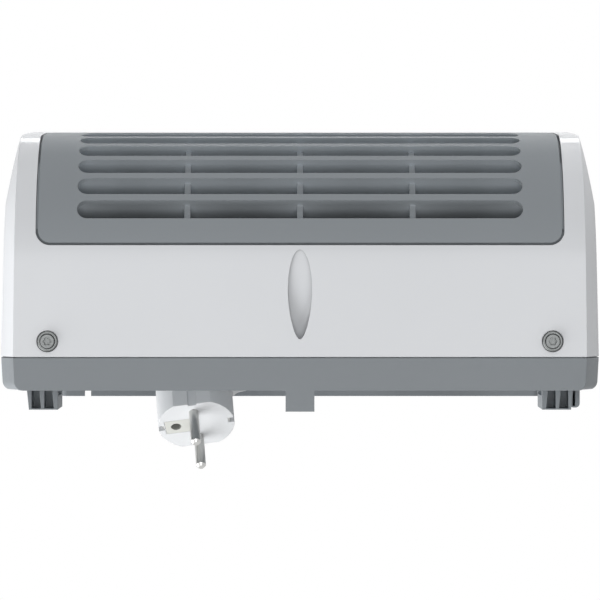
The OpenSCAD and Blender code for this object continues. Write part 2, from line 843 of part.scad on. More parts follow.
module thermostat_body() {
    color("gray") placed() on_slope(knob_x) control_neck() {
        translate([-stat_w / 2, -stat_l / 2, control_top - stat_h]) cube([stat_w, stat_l, stat_h]);
        for (x = [-1, 1]) {
            translate([x * stat_w * 0.3 - tag_w / 2, -stat_l / 2 - tag_l, control_top - stat_h + tag_w])
                cube([tag_w, tag_l + tag_t, tag_t]);
        }
    }
}
module mode_switch_body() {
    color("gray") placed() on_slope(-knob_x) control_neck() {
        translate([0, 0, control_top - switch_h]) cylinder(r = switch_r, h = switch_h);
        for (a = [0 : 60 : 300]) {
            rotate([0, 0, a]) translate([switch_r - tag_t, -tag_w / 2, control_top - switch_h + tag_l])
                cube([tag_l + tag_t, tag_w, tag_t]);
        }
    }
}
module pilot_lamp() {
    color("orange") placed() on_slope(0, lamp_up) {
        translate([0, 0, control_top - 6]) cylinder(d = lamp_d, h = 6.5 - control_top);
        translate([0, 0, 0.5]) intersection() {
            cylinder(d = lamp_d, h = lamp_d);
            translate([0, 0, 1.4 - lamp_d]) sphere(d = 2 * lamp_d);
        }
        translate([0, 0, control_top - 6]) cylinder(d = lamp_d + 4, h = 6);
    }
}

// Flanged screws that hold the cover from below.
module cover_screws() {
    color("gray") placed() screw_sites() difference() {
        union() {
            translate([0, 0, flange_z]) cylinder(d = screw_d, h = screw_len);
            translate([0, 0, 0.2]) cylinder(d = screw_flange_d, h = flange_z - 0.2);
            translate([0, 0, -0.2]) cylinder(d1 = screw_flange_d - 1, d2 = screw_flange_d, h = 0.4);
            translate([0, 0, -2]) cylinder(d1 = screw_head_d - 1, d2 = screw_head_d, h = 1.8);
            translate([0, 0, -0.3]) cylinder(d = screw_head_d, h = 0.6);
        }
        translate([0, 0, -2 - over]) linear_extrude(2 + over) {
            for (a = [0 : 60 : 120]) {
                rotate(a) round_rect(3.8, 1.3, 0.6);
            }
        }
    }
}

// Cross-flow fan: axis along X.
fan_c = [-fan_y, fan_z];
module on_fan(x = 0) {
    translate([x, fan_c[0], fan_c[1]]) rotate([90, 0, 90]) children();
}
disc_xs = [-fan_len / 2, -disc_t / 2, fan_len / 2 - disc_t];
hub_d = 14;
hub_l = 10;
module fan_blade() {
    mid_r = fan_d / 2 - fan_ring;
    bow = fan_ring * 0.75;
    translate([mid_r + bow * 0.6, bow * 0.8]) intersection() {
        difference() {
            circle(bow);
            circle(bow - fan_blade_t);
        }
        polygon([
            [0, 0], [-2 * bow, -bow * 0.4], [-2 * bow, -2 * bow], [bow * 1.4, -2 * bow], [bow, -bow * 0.6]]);
    }
}
module fan_wheel() {
    color("gray") placed() on_fan() difference() {
        union() {
            translate([0, 0, -fan_len / 2 + over / 2]) linear_extrude(fan_len - over) intersection() {
                circle(fan_d / 2 - 0.1, $fn = 96);
                for (i = [0 : fan_blades - 1]) {
                    rotate(i * 360 / fan_blades) fan_blade();
                }
            }
            for (x = disc_xs) {
                translate([0, 0, x]) difference() {
                    cylinder(r = fan_d / 2, h = disc_t, $fn = 96);
                    if (x == disc_xs[1]) {
                        translate([0, 0, -over])
                            cylinder(r = fan_d / 2 - fan_ring - 3, h = disc_t + 2 * over);
                    }
                }
            }
            translate([0, 0, fan_len / 2 - hub_l]) cylinder(d = hub_d, h = hub_l);
            translate([0, 0, -fan_len / 2]) cylinder(d = hub_d, h = hub_l);
        }
        translate([0, 0, -fan_len]) cylinder(d = shaft_d, h = 2 * fan_len);
    }
}
motor_x = duct_w / 2 + duct_t + motor_gap;
shaft_end = motor_x + core_t + 10;
module fan_shaft() {
    tail = duct_w / 2 + duct_t + 8;
    color(steel) placed() on_fan(-tail) cylinder(d = shaft_d, h = tail + shaft_end);
}
// Plain bearing in the duct's left end, with its rubber ring.
module fan_bearing() {
    color("gray") placed() on_fan(-duct_w / 2 - duct_t - 5) difference() {
        union() {
            translate([0, 0, 5]) cylinder(d = bearing_d, h = duct_t);
            cylinder(d = bearing_d + 4, h = 5);
        }
        translate([0, 0, -over]) cylinder(d = shaft_d + 2 * run_fit, h = 10);
    }
}

// Air duct: the rear guide and the front tongue, bent from sheet.
guide_r = fan_d / 2 + duct_gap + duct_t / 2;
mouth_r = nose_r - grille_t - grille_rib_h - 1;
tongue_z = grille_top + 1;
guide_pts = concat(arc(fan_c, guide_r, 80, -10, 12), [
    [-fan_y + guide_r - 0.5, element_z + element_h + 6],
    [-fan_y + guide_r - 1.5, element_z - 4],
    [-fan_y + 14, nose_r - 20],
    nose_c + mouth_r * [-sin(8), -cos(8)]]);
tongue_pts = [
    fan_c + guide_r * [-cos(50), sin(50)] + [-1, 0],
    fan_c + guide_r * [-cos(18), sin(18)] - [1, 0],
    fan_c + guide_r * [-1, -0.3] - [1, 0],
    [-body_d + grille_t + grille_rib_h + 1, tongue_z]];
module air_duct() {
    color(steel) placed() {
        across(duct_w) polygon(sheet(guide_pts, duct_t));
        across(duct_w) polygon(sheet(tongue_pts, duct_t));
    }
}
leg_z = [[48, 72], [168, 186]];
duct_foot_w = 13;
module duct_sites() {
    for (s = [-1, 1], z = leg_z) {
        translate([s * (duct_w / 2 + duct_t + duct_foot_w / 2), 0, (z[0] + z[1]) / 2]) children();
    }
}
module duct_end() {
    foot_y = tray_front - duct_pad;
    difference() {
        union() {
            translate([duct_w / 2, 0, 0]) rotate([90, 0, 90]) linear_extrude(duct_t) polygon(concat([
                [foot_y, leg_z[0][0]], [foot_y, leg_z[0][1]], [-fan_y + guide_r + 2, leg_z[0][1] + 8],
                [-fan_y + guide_r + 2, leg_z[1][0] - 8], [foot_y, leg_z[1][0]], [foot_y, leg_z[1][1]],
                [-fan_y, fan_z + guide_r + 2], [-fan_y - guide_r + 4, fan_z + guide_r - 8],
                [-fan_y - guide_r - 3, fan_z], [nose_c[0] - mouth_r, tongue_z]],
                arc(nose_c, mouth_r, 180, 262, 12)));
            for (z = leg_z) {
                translate([duct_w / 2, foot_y - duct_t, z[0]])
                    cube([duct_t + duct_foot_w, duct_t, z[1] - z[0]]);
            }
        }
        on_fan() cylinder(d = bearing_d, h = body_w);
        duct_sites() translate([0, foot_y - duct_t - over, 0]) rotate([-90, 0, 0])
            cylinder(d = duct_screw_d + 2 * fit, h = duct_t + 2 * over);
        on_motor_bolts() cylinder(d = bolt_d + 2 * run_fit, h = body_w);
    }
}
module duct_end_left() {
    color(steel) placed() mirror([1, 0, 0]) duct_end();
}
module duct_end_right() {
    color(steel) placed() duct_end();
}
module duct_screws() {
    head_y = tray_front - duct_pad - duct_t;
    color(steel) placed() {
        duct_sites() translate([0, head_y, 0]) rotate([90, 0, 0]) pan_screw(duct_pad + duct_t);
        terminal_sites() translate([0, block_y, 0]) rotate([90, 0, 0])
            pan_screw(duct_pad + terminal_t);
    }
}
module pan_screw(l) {
    difference() {
        union() {
            cylinder(d1 = 2 * duct_screw_d, d2 = 1.5 * duct_screw_d, h = 2);
            translate([0, 0, -l]) cylinder(d = duct_screw_d, h = l + over);
        }
        for (a = [0, 90]) {
            rotate([0, 0, a]) translate([-1.6, -0.4, 1]) cube([3.2, 0.8, 2]);
        }
    }
}

// Heating element: a steel frame with bars and folded fins between them.
element_mid = -fan_y - 4;
element_w = duct_w - 2 * fit;
inner_h = element_l - 2 * frame_t;
fin_h = (inner_h - bar_rows * bar_h) / (bar_rows + 1);
module element_frame() {
    color(steel) placed() translate([0, element_mid, element_z]) linear_extrude(element_h) difference() {
        square([element_w, element_l], center = true);
        square([element_w - 2 * frame_t, inner_h], center = true);
    }
}
function bar_y(i) = -inner_h / 2 + fin_h + i * (fin_h + bar_h);
bar_len = element_w - 2 * frame_t;
module heating_bars() {
    color("dimgray") placed() translate([0, element_mid, element_z + 1]) {
        for (i = [0 : bar_rows - 1]) {
            translate([-bar_len / 2, bar_y(i), 0]) cube([bar_len, bar_h, element_h - 2]);
        }
    }
}
module heating_fins() {
    folds = floor((bar_len - 2) / fin_pitch);
    fold_tip = fin_t / 2 / sin(atan(fin_pitch / 2 / fin_h));
    half = fin_h / 2 - fold_tip - fit / 2;
    color("silver") placed() translate([0, element_mid, element_z + 2]) {
        for (i = [0 : bar_rows]) {
            y = bar_y(i) - fin_h / 2;
            zigzag = [for (k = [0 : 2 * folds])
                [(k - folds) * fin_pitch / 2, y + (k % 2 == 0 ? -half : half)]];
            linear_extrude(element_h - 4) polygon(sheet(zigzag, fin_t));
        }
    }
}

// Over-temperature cut-out and fuse on the duct's right end.
cutout_at = [-fan_y + 20, element_z + element_h / 2];
cutout_d = 16;
cutout_h = 5.5;
fuse_d = 4;
fuse_l = 14;
fuse_gap = 32;
module thermal_cutout() {
    color(steel) placed() translate([duct_w / 2 + duct_t, cutout_at[0], cutout_at[1]]) rotate([0, 90, 0]) {
        cylinder(d = cutout_d, h = cutout_h);
        translate([0, 0, cutout_h]) cylinder(d = cutout_d * 0.75, h = cutout_h);
        for (s = [-1, 1]) {
            translate([(s * cutout_d / 2 - tag_t) / 2, -tag_l / 2, 2 * cutout_h]) cube([tag_t, tag_l, tag_w]);
        }
    }
}
module thermal_fuse() {
    at = [duct_w / 2 + duct_t + fuse_d / 2, cutout_at[0] - fuse_gap, cutout_at[1]];
    color("white") placed() translate(at) rotate([90, 0, 0]) {
        cylinder(d = fuse_d, h = fuse_l, center = true);
        cylinder(d = fuse_d / 4, h = 2 * fuse_l, center = true);
    }
}

// Shaded-pole motor: core, coil, rotor, two bridges and their bolts.
bolt_d = 3.5;
bolt_dx = core_w / 2 - 5;
bolt_dz = core_h / 2 - 8;
module on_motor_bolts() {
    for (s = [-1, 1]) {
        on_fan() translate([s * bolt_dx, bolt_dz, 0]) children();
    }
}
core_up = 4;
wind_t = 6.5;
bridge_t = 2;
bridge_w = 12;
spacer_d = 7;
core_leg = 12;
module motor_core() {
    slot_h = 12;
    color("dimgray") placed() on_fan(motor_x) difference() {
        translate([0, -core_up, 0]) linear_extrude(core_t) difference() {
            round_rect(core_w, core_h, 2);
            translate([0, -core_h / 2 + core_leg + slot_h / 2])
                square([core_w - 2 * core_leg, slot_h], center = true);
        }
        translate([0, 0, -over]) cylinder(r = rotor_d / 2 + rotor_gap, h = core_t + 2 * over, $fn = 96);
        for (s = [-1, 1]) {
            translate([s * bolt_dx, bolt_dz, -over])
                cylinder(d = bolt_d + 2 * run_fit, h = core_t + 2 * over);
        }
    }
}
module motor_coil() {
    coil_l = core_w - 2 * core_leg - 2 * fit;
    color("peru") placed() on_fan(motor_x) translate([0, -core_up - core_h / 2 + core_leg / 2, core_t / 2])
        rotate([0, 90, 0]) translate([0, 0, -coil_l / 2]) linear_extrude(coil_l) difference() {
            round_rect(core_t + 2 * wind_t, core_leg + 2 * wind_t, wind_t / 2);
            square([core_t + 2 * fit, core_leg + 2 * fit], center = true);
        }
}
module motor_rotor() {
    color("silver") placed() on_fan(motor_x) difference() {
        cylinder(d = rotor_d, h = core_t, $fn = 96);
        translate([0, 0, -over]) cylinder(d = shaft_d, h = core_t + 2 * over);
    }
}
module motor_bridge() {
    difference() {
        union() {
            translate([-bolt_dx - spacer_d / 2, bolt_dz - bridge_w / 2, 0])
                cube([2 * bolt_dx + spacer_d, bridge_w, bridge_t]);
            translate([-bridge_w / 2, 0, 0]) cube([bridge_w, bolt_dz, bridge_t]);
            cylinder(d = bearing_d + bridge_t, h = 2 * bridge_t);
        }
        translate([0, 0, -over]) cylinder(d = shaft_d + 2 * run_fit, h = 2 * bridge_t + 2 * over);
        for (s = [-1, 1]) {
            translate([s * bolt_dx, bolt_dz, -over])
                cylinder(d = bolt_d + 2 * run_fit, h = bridge_t + 2 * over);
        }
    }
}
bridge_gap = 2.5;
module motor_bridges() {
    color(steel) placed() {
        on_fan(motor_x - bridge_gap) mirror([0, 0, 1]) motor_bridge();
        on_fan(motor_x + core_t + bridge_gap) motor_bridge();
    }
}
module motor_bolts() {
    core_end = motor_gap + core_t;
    color(steel) placed() on_motor_bolts() translate([0, 0, duct_w / 2 + duct_t]) {
        translate([0, 0, -duct_t]) cylinder(d = bolt_d, h = duct_t + core_end + bridge_gap + bridge_t + 3);
        cylinder(d = spacer_d, h = motor_gap - bridge_gap - bridge_t);
        translate([0, 0, motor_gap - bridge_gap]) cylinder(d = spacer_d, h = bridge_gap);
        translate([0, 0, core_end]) cylinder(d = spacer_d, h = bridge_gap);
        translate([0, 0, core_end + bridge_gap + bridge_t]) cylinder(d = spacer_d, h = 3, $fn = 6);
    }
}

// Terminal block and the lead's clamp on the rear wall.
terminal_t = 4;
block_y = tray_front - duct_pad - terminal_t;
terminal_c = [lead_x - 30, 375];
block_w = 60;
pole_pitch = 12;
pole_w = 10;
pole_l = 18;
module terminal_sites() {
    for (s = [-1, 1]) {
        translate([terminal_c[0] + s * (block_w / 2 - duct_screw_d * 2), 0, terminal_c[1]]) children();
    }
}
module terminal_block() {
    poles = [for (i = [-1 : 1]) terminal_c[0] + i * pole_pitch];
    color("white") placed() difference() {
        union() {
            translate([terminal_c[0] - block_w / 2, block_y, terminal_c[1] - 7])
                cube([block_w, terminal_t, 14]);
            for (x = poles) {
                translate([x - pole_w / 2, block_y - pole_w, terminal_c[1] - pole_l / 2])
                    cube([pole_w, pole_w + sink, pole_l]);
            }
        }
        terminal_sites() translate([0, tray_front, 0]) rotate([90, 0, 0])
            cylinder(d = duct_screw_d + 2 * fit, h = duct_pad + terminal_t + over);
        for (x = poles) {
            translate([x, block_y - pole_w / 2, terminal_c[1] - pole_l]) cylinder(d = 4, h = 2 * pole_l);
        }
    }
}
clamp_z = gland_z + 18;
module cord_clamp() {
    color("gray") placed() translate([lead_x, entry_y, clamp_z]) difference() {
        translate([-7.5, -cord_d / 2 - 3, 0]) cube([15, cord_d / 2 + 3 - entry_y + gland_y - rib_t - 0.2, 7]);
        translate([0, 0, -over]) cylinder(d = cord_d + 2 * run_fit, h = 9);
    }
}
// The lead's end inside the housing.
module inner_cord() {
    color(white) placed() translate([lead_x, entry_y, relief_top]) cylinder(d = cord_d, h = gland_h - 12);
}
relief_top = gland_z + rib_t + 3;
relief_len = 24;
relief_flare = 5;
relief_step = 0.8;
// A sleeve that flares towards its root and tapers slightly to its tip.
module relief_form(d0, d1, l) {
    neck = d1 + relief_step;
    flare = [for (i = [0 : 4]) [(neck + (d0 - neck) * pow(1 - i / 4, 2)) / 2, i * relief_flare / 4]];
    bore = cord_d / 2 + run_fit;
    rotate_extrude() polygon(concat([[bore, 0]], flare, [[d1 / 2, l], [bore, l]]));
}
// Tapered strain relief in the entry, held by its collar.
module cord_relief() {
    color(white) placed() translate([lead_x, entry_y, gland_z]) {
        mirror([0, 0, 1]) relief_form(relief_d, cord_d + 1.6, relief_len);
        difference() {
            union() {
                cylinder(d = neck_of_relief, h = rib_t + fit);
                translate([0, 0, rib_t + fit]) cylinder(d = relief_d, h = 2);
            }
            translate([0, 0, -over]) cylinder(d = cord_d + 2 * run_fit, h = 10);
        }
    }
}

// A tube swept along points, with n sides and flat ends.
module tube(p, d, n) {
    last = len(p) - 1;
    dirs = [for (i = [0 : last]) unit(p[min(i + 1, last)] - p[max(i - 1, 0)])];
    ref = [0, 1, 0];
    rings = [for (i = [0 : last]) let(
        a = unit(cross(dirs[i], abs(dirs[i] * ref) > 0.9 ? [1, 0, 0] : ref)), b = cross(a, dirs[i]))
        for (k = [0 : n - 1]) p[i] + d / 2 * (cos(360 * k / n) * a + sin(360 * k / n) * b)];
    sides = [for (i = [0 : last - 1], k = [0 : n - 1]) let(
        k1 = (k + 1) % n, q = [i * n + k, i * n + k1, (i + 1) * n + k1, (i + 1) * n + k])
        each [[q[0], q[1], q[2]], [q[0], q[2], q[3]]]];
    ends = [[for (k = [n - 1 : -1 : 0]) k], [for (k = [0 : n - 1]) last * n + k]];
    polyhedron(rings, concat(sides, ends));
}

// The stowed coil: half its turns wind in, then it climbs to the outer layer and winds out.
coil_turns = 6;
coil_steps = 24;
mid_turn = coil_turns / 2;
coil_ease = 0.01;
function coil_rad(t) = coil_r
    - coil_pitch * (sqrt(pow(mid_turn, 2) + coil_ease) - sqrt(pow(t - mid_turn, 2) + coil_ease));
function coil_y(t) = layer_y[0] + coil_layer * max(0, min(1, (t - mid_turn) * 2 + 0.5));
function coil_pt(t) = [
    coil_c[0] - coil_rad(t) * cos(360 * t), coil_y(t), coil_c[1] - coil_rad(t) * sin(360 * t)];
coil_start = [coil_c[0] - coil_rad(0), layer_y[0], coil_c[1] + cord_d];
coil_end = [coil_c[0] - coil_rad(coil_turns), layer_y[1], coil_c[1] - cord_d];
coil_n = coil_turns * coil_steps;
coil_pts = concat([coil_start], [for (i = [0 : coil_n]) coil_pt(i / coil_steps)], [coil_end]);
least_gap = min([for (i = [0 : coil_n - coil_steps / 2], j = [i + coil_steps / 2 : coil_n])
    norm(coil_pt(i / coil_steps) - coil_pt(j / coil_steps))]) - cord_d;
echo(least_gap = least_gap);
module cord_coil() {
    color(white) placed() tube(coil_pts, cord_d, 6);
}
lead_pts = [
    [27, -15.5, 276], [27, -15.5, 268], [27, -15.8, 261], [27, -16.4, 254], [27, -17, 247], [27, -17.2, 240],
    [27, -17.2, 232]];
module cord_lead() {
    color(white) placed() tube(lead_pts, cord_d, 8);
}
tail_pts = [
    [27, -9.7, 218], [27, -9.7, 206], [27, -9.8, 194], [27, -10.1, 184], [26.9, -10.6, 175],
    [25.8, -11.3, 166.3], [22.3, -12.2, 158], [16.8, -13, 150.8], [9.5, -13.4, 145.1], [1.2, -13.2, 141.6],
    [-9.6, -12, 140.4]];
module cord_tail() {
    color(white) placed() tube(tail_pts, cord_d, 8);
}
// Band round the coil, at its right side.
module cord_tie() {
    turn_in = coil_rad(mid_turn - 0.5);
    turn_out = coil_rad(0.5);
    w = turn_out - turn_in + cord_d + 0.6;
    h = coil_layer + cord_d + 0.4;
    mid = [coil_c[0] + (turn_in + turn_out) / 2, (layer_y[0] + layer_y[1]) / 2, coil_c[1] - tie_w / 2];
    color("gray") placed() translate(mid)
        linear_extrude(tie_w) difference() {
            round_rect(w + 2 * tie_t, h + 2 * tie_t, 3);
            round_rect(w, h, 3 - tie_t);
        }
}

// Plug, in its own frame: pins along +Z, pin row along X, lead leaving along +Y.
plug_at = [-50.1, 10.6, 128];
plug_turn = [-176.1, -50.3, 79.6];
clip_w = 3.5;
clip_d = 3;
pin_root = 8;
pin_root_d = pin_d - 0.8;
pin_tip = 1.2;
exit_z = -22.3;
module on_plug() {
    translate(plug_at) rotate(plug_turn) children();
}
module plug_body() {
    groove_w = 4;
    color("white") placed() on_plug() difference() {
        intersection() {
            rotate_extrude($fn = 96) {
                translate([0, -plug_len]) square([plug_d / 2 - plug_r, plug_len]);
                translate([0, plug_r - plug_len]) square([plug_d / 2, plug_len - plug_r]);
                intersection() {
                    translate([plug_d / 2 - plug_r, plug_r - plug_len]) circle(plug_r);
                    translate([plug_d / 2 - plug_r, -plug_len]) square([plug_r, plug_r]);
                }
            }
            translate([-plug_flat / 2, -plug_d, -2 * plug_len]) cube([plug_flat, 2 * plug_d, 3 * plug_len]);
        }
        for (s = [-1, 1]) {
            translate([-clip_w / 2, s > 0 ? plug_d / 2 - clip_d : -plug_d / 2 - over, -14])
                cube([clip_w, clip_d + over, 14 + over]);
            translate([s * pin_gap / 2, 0, -pin_root]) cylinder(d = pin_root_d, h = pin_root + over);
        }
        translate([-plug_flat / 2 - over, -groove_w / 2, -plug_len + plug_r])
            cube([over + 1.2, groove_w, plug_len]);
        translate([-socket_w / 2, socket_y - socket_l / 2, -6]) cube([socket_w, socket_l, 6 + over]);
        translate([0, plug_d / 2 - 4, exit_z]) rotate([-90, 0, 0]) cylinder(d = relief_d - 2, h = 10);
    }
}
socket_y = -8.8;
socket_w = 9.8;
socket_l = 12.6;
module plug_earth_socket() {
    color(steel) placed() on_plug() difference() {
        translate([-socket_w / 2 + 0.1, socket_y - socket_l / 2 + 0.1, -6])
            cube([socket_w - 0.2, socket_l - 0.2, 6]);
        translate([0, socket_y - 1, -5]) cylinder(d = 5, h = 6);
    }
}
module plug_pins() {
    color("silver") placed() on_plug() {
        for (s = [-1, 1]) {
            translate([s * pin_gap / 2, 0, 0]) {
                translate([0, 0, -pin_root]) cylinder(d = pin_root_d, h = pin_root + over);
                cylinder(d = pin_d, h = pin_len - pin_tip);
                translate([0, 0, pin_len - pin_tip]) cylinder(d1 = pin_d, d2 = pin_d - 2, h = pin_tip);
            }
        }
    }
}
module plug_earth_clips() {
    color("silver") placed() on_plug() {
        for (s = [-1, 1]) {
            mirror([0, s > 0 ? 0 : 1, 0]) translate([-clip_w / 2 + 0.1, plug_d / 2 - clip_d, -14])
                cube([clip_w - 0.2, 0.8, 13.4]);
        }
    }
}
module plug_relief() {
    color("white") placed() on_plug() translate([0, plug_d / 2 - 4, exit_z]) rotate([-90, 0, 0]) {
        difference() {
            cylinder(d = relief_d - 2, h = 4);
            translate([0, 0, -over]) cylinder(d = cord_d + 2 * run_fit, h = 6);
        }
        translate([0, 0, 4]) relief_form(relief_d + 0.6, cord_d + 1.6, relief_len);
    }
}

// Wall bracket: a frame with four screw holes, two hooks and stiffening ribs.
module wall_bracket() {
    w = bracket_w;
    h = bracket_h;
    slit_x = -w / 2 + 13.1;
    slit_w = 3.1;
    slit_h = 104;
    slit_lean = 2.43;
    color(grey) translate([0, 0, bracket_z - mount_z]) difference() {
        union() {
            translate([0, 0, h / 2]) rotate([90, 0, 0]) linear_extrude(bracket_t) round_rect(w, h, bracket_r);
            for (x = [-94, -84]) {
                translate([x - rib_t / 2, -bracket_t - 5, 3]) cube([rib_t, 5 + bracket_t / 2, h - 6]);
            }
            for (s = [-1, 1]) {
                translate([s * hook_x - hook_w / 2, 0, hook_z - bracket_z]) hook();
            }
        }
        translate([0, over, h / 2]) rotate([90, 0, 0])
            linear_extrude(3 * bracket_t + 20) round_rect(w - 2 * rail_w - 30, h - 2 * rail_w, 8);
        for (x = [-1, 1], z = [-1, 1]) {
            translate([x * hole_dx / 2, over, h / 2 + z * hole_dz / 2]) rotate([90, 0, 0])
                cylinder(d = hole_d, h = 30);
        }
        translate([slit_x, -bracket_t - over, 0]) rotate([0, -slit_lean, 0])
            translate([-slit_w / 2, 0, -over]) cube([slit_w, bracket_t + 2 * over, slit_h]);
    }
}
// Hook that reaches through the heater's rear wall and turns up behind it.
module hook() {
    reach = -tray_front + fit;
    translate([0, -reach - hook_t, 0]) cube([hook_w, reach + hook_t - bracket_t / 2, hook_t]);
    translate([0, -reach - hook_t, 0]) cube([hook_w, hook_t, 12]);
}

rear_housing();
front_cover();
outlet_grille();
intake_grille();
control_fascia();
thermostat_knob();
mode_knob();
thermostat_spindle();
mode_spindle();
thermostat_body();
mode_switch_body();
pilot_lamp();
cover_screws();
fan_wheel();
fan_shaft();
fan_bearing();
air_duct();
duct_end_left();
duct_end_right();
duct_screws();
element_frame();
heating_bars();
heating_fins();
thermal_cutout();
thermal_fuse();
motor_core();
motor_coil();
motor_rotor();
motor_bridges();
motor_bolts();
terminal_block();
cord_clamp();
inner_cord();
cord_relief();
cord_lead();
cord_coil();
cord_tail();
cord_tie();
plug_relief();
plug_body();
plug_pins();
plug_earth_clips();
plug_earth_socket();
wall_bracket();
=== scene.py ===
"""Looks of the wall-mounted fan heater: finishes, mains lead, dial marks, studio and camera.

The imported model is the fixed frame. The finishes' lengths are in metres. The heater's own classes
hold millimetres, which become metres only where a mesh is made, and count heights from the
heater's lowest face.
"""

import json
import logging
import math
from dataclasses import dataclass, field
from enum import Enum
from typing import ClassVar

import bmesh
import bpy
from mathutils import Matrix, Vector


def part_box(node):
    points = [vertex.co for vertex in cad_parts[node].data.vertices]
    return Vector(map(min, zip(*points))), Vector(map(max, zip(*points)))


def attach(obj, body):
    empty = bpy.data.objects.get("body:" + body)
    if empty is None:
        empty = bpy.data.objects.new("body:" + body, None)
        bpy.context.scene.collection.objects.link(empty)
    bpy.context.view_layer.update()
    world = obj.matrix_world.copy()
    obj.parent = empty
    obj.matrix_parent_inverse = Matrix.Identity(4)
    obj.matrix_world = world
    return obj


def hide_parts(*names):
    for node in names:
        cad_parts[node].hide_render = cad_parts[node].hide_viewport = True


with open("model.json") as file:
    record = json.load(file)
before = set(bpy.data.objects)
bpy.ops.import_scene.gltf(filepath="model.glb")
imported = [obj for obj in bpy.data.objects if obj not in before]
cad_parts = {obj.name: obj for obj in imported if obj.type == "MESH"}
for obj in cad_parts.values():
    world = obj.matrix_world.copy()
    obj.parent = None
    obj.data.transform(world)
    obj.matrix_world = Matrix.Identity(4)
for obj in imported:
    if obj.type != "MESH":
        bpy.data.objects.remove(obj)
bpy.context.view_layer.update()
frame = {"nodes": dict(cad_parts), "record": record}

logging.basicConfig(level=logging.INFO, format="%(message)s")
LOG = logging.getLogger("fan_heater")

MM = 0.001
Point = tuple[float, float, float]
Colour = tuple[float, float, float]
Pair = tuple[float, float]
Socket = bpy.types.NodeSocket
Bump = tuple[Socket, float, float]

# Span that noise fills for the most part.
NOISE_SPAN = (0.3, 0.7)
# The mix node's factor and colour inputs and its colour result, whose names repeat.
MIX_INPUTS = (0, 6, 7)
MIX_RESULT = 2
# Radius of softened edges, in metres, where a finish names no other.
EDGE_RADIUS = 0.0002
# Edges that turn by more than this, in degrees, stay sharp.
SHARP_ANGLE = 28.0
# Points of one mesh closer than this, in metres, are one.
SAME_POINT = 1e-6


def mount_height() -> float:
    """Height of the wall screws' centre above the heater's lowest face, in millimetres."""
    return -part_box("rear_housing")[0].z / MM


MOUNT_Z = mount_height()


def place(point: Point) -> Vector:
    """Returns the place in metres, in the row frame, of a point above the heater's foot."""
    x, y, z = point
    return Vector((x * MM, y * MM, (z - MOUNT_Z) * MM))


def srgb(code: str) -> Colour:
    """Returns the linear colour that renders as a code of six hexadecimal digits."""
    parts = [int(code[i : i + 2], 16) / 255 for i in (0, 2, 4)]
    return tuple(c / 12.92 if c <= 0.04045 else ((c + 0.055) / 1.055) ** 2.4 for c in parts)


def toned(colour: Colour, share: float) -> Colour:
    """Returns a colour made darker, or lighter with a share over 1."""
    return tuple(c * share for c in colour)


def spread(value: float, less_and_more: Pair) -> Pair:
    """Returns a value with each of two amounts added."""
    return value + less_and_more[0], value + less_and_more[1]


class Tree:
    """Short way to build one node tree."""

    def __init__(self, tree: bpy.types.NodeTree) -> None:
        """Empties the tree that is built in."""
        self.tree = tree
        self.tree.nodes.clear()

    def add(self, kind: str, **sockets: object) -> bpy.types.Node:
        """Adds a node and sets or links its input sockets.

        Args:
            kind: Blender's name of the node type.
            sockets: Input socket names, with a space as an underscore, and what goes in.

        Returns:
            The new node.
        """
        node = self.tree.nodes.new(kind)
        for key, value in sockets.items():
            self.put(node, key.replace("_", " "), value)
        return node

    def put(self, node: bpy.types.Node, socket: str | int, value: object) -> None:
        """Sets or links one input socket.

        Args:
            node: The node that has the socket.
            socket: The socket's name or number.
            value: A plain value, or another node's output socket.
        """
        if isinstance(value, Socket):
            self.tree.links.new(value, node.inputs[socket])
        else:
            node.inputs[socket].default_value = value

    def calc(self, operation: str, *values: Socket | float) -> Socket:
        """Adds one calculation.

        Args:
            operation: Blender's name of it.
            values: What goes in, sockets or numbers.

        Returns:
            The result's socket.
        """
        node = self.add("ShaderNodeMath")
        node.operation = operation
        for number, value in enumerate(values):
            self.put(node, number, value)
        return node.outputs[0]

    def remap(self, value: Socket, span: Pair, to: Pair) -> Socket:
        """Maps a value from one span to another, clamped.

        Args:
            value: The socket to map.
            span: The two inputs that give the two results.
            to: The two results.

        Returns:
            The mapped value's socket.
        """
        node = self.add("ShaderNodeMapRange", Value=value)
        for name, number in zip(("From Min", "From Max", "To Min", "To Max"), (*span, *to)):
            node.inputs[name].default_value = number
        return node.outputs["Result"]

    def seen(self) -> Socket:
        """Tells the rays that show the surroundings: straight, mirrored and through glass.

        Returns:
            The socket of a value that is 1 for these rays and 0 for all others.
        """
        path = self.add("ShaderNodeLightPath")
        shown = self.calc("MAXIMUM", path.outputs["Is Camera Ray"], path.outputs["Is Glossy Ray"])
        return self.calc("MAXIMUM", shown, path.outputs["Is Transmission Ray"])


@dataclass(frozen=True)
class Mottle:
    """Noise that fills a range.

    The scale is per metre and the detail is a number of octaves. The span is the part of the noise
    that fills the range.
    """

    scale: float
    detail: float = 3.0
    to: Pair = (0.0, 1.0)
    span: Pair = NOISE_SPAN


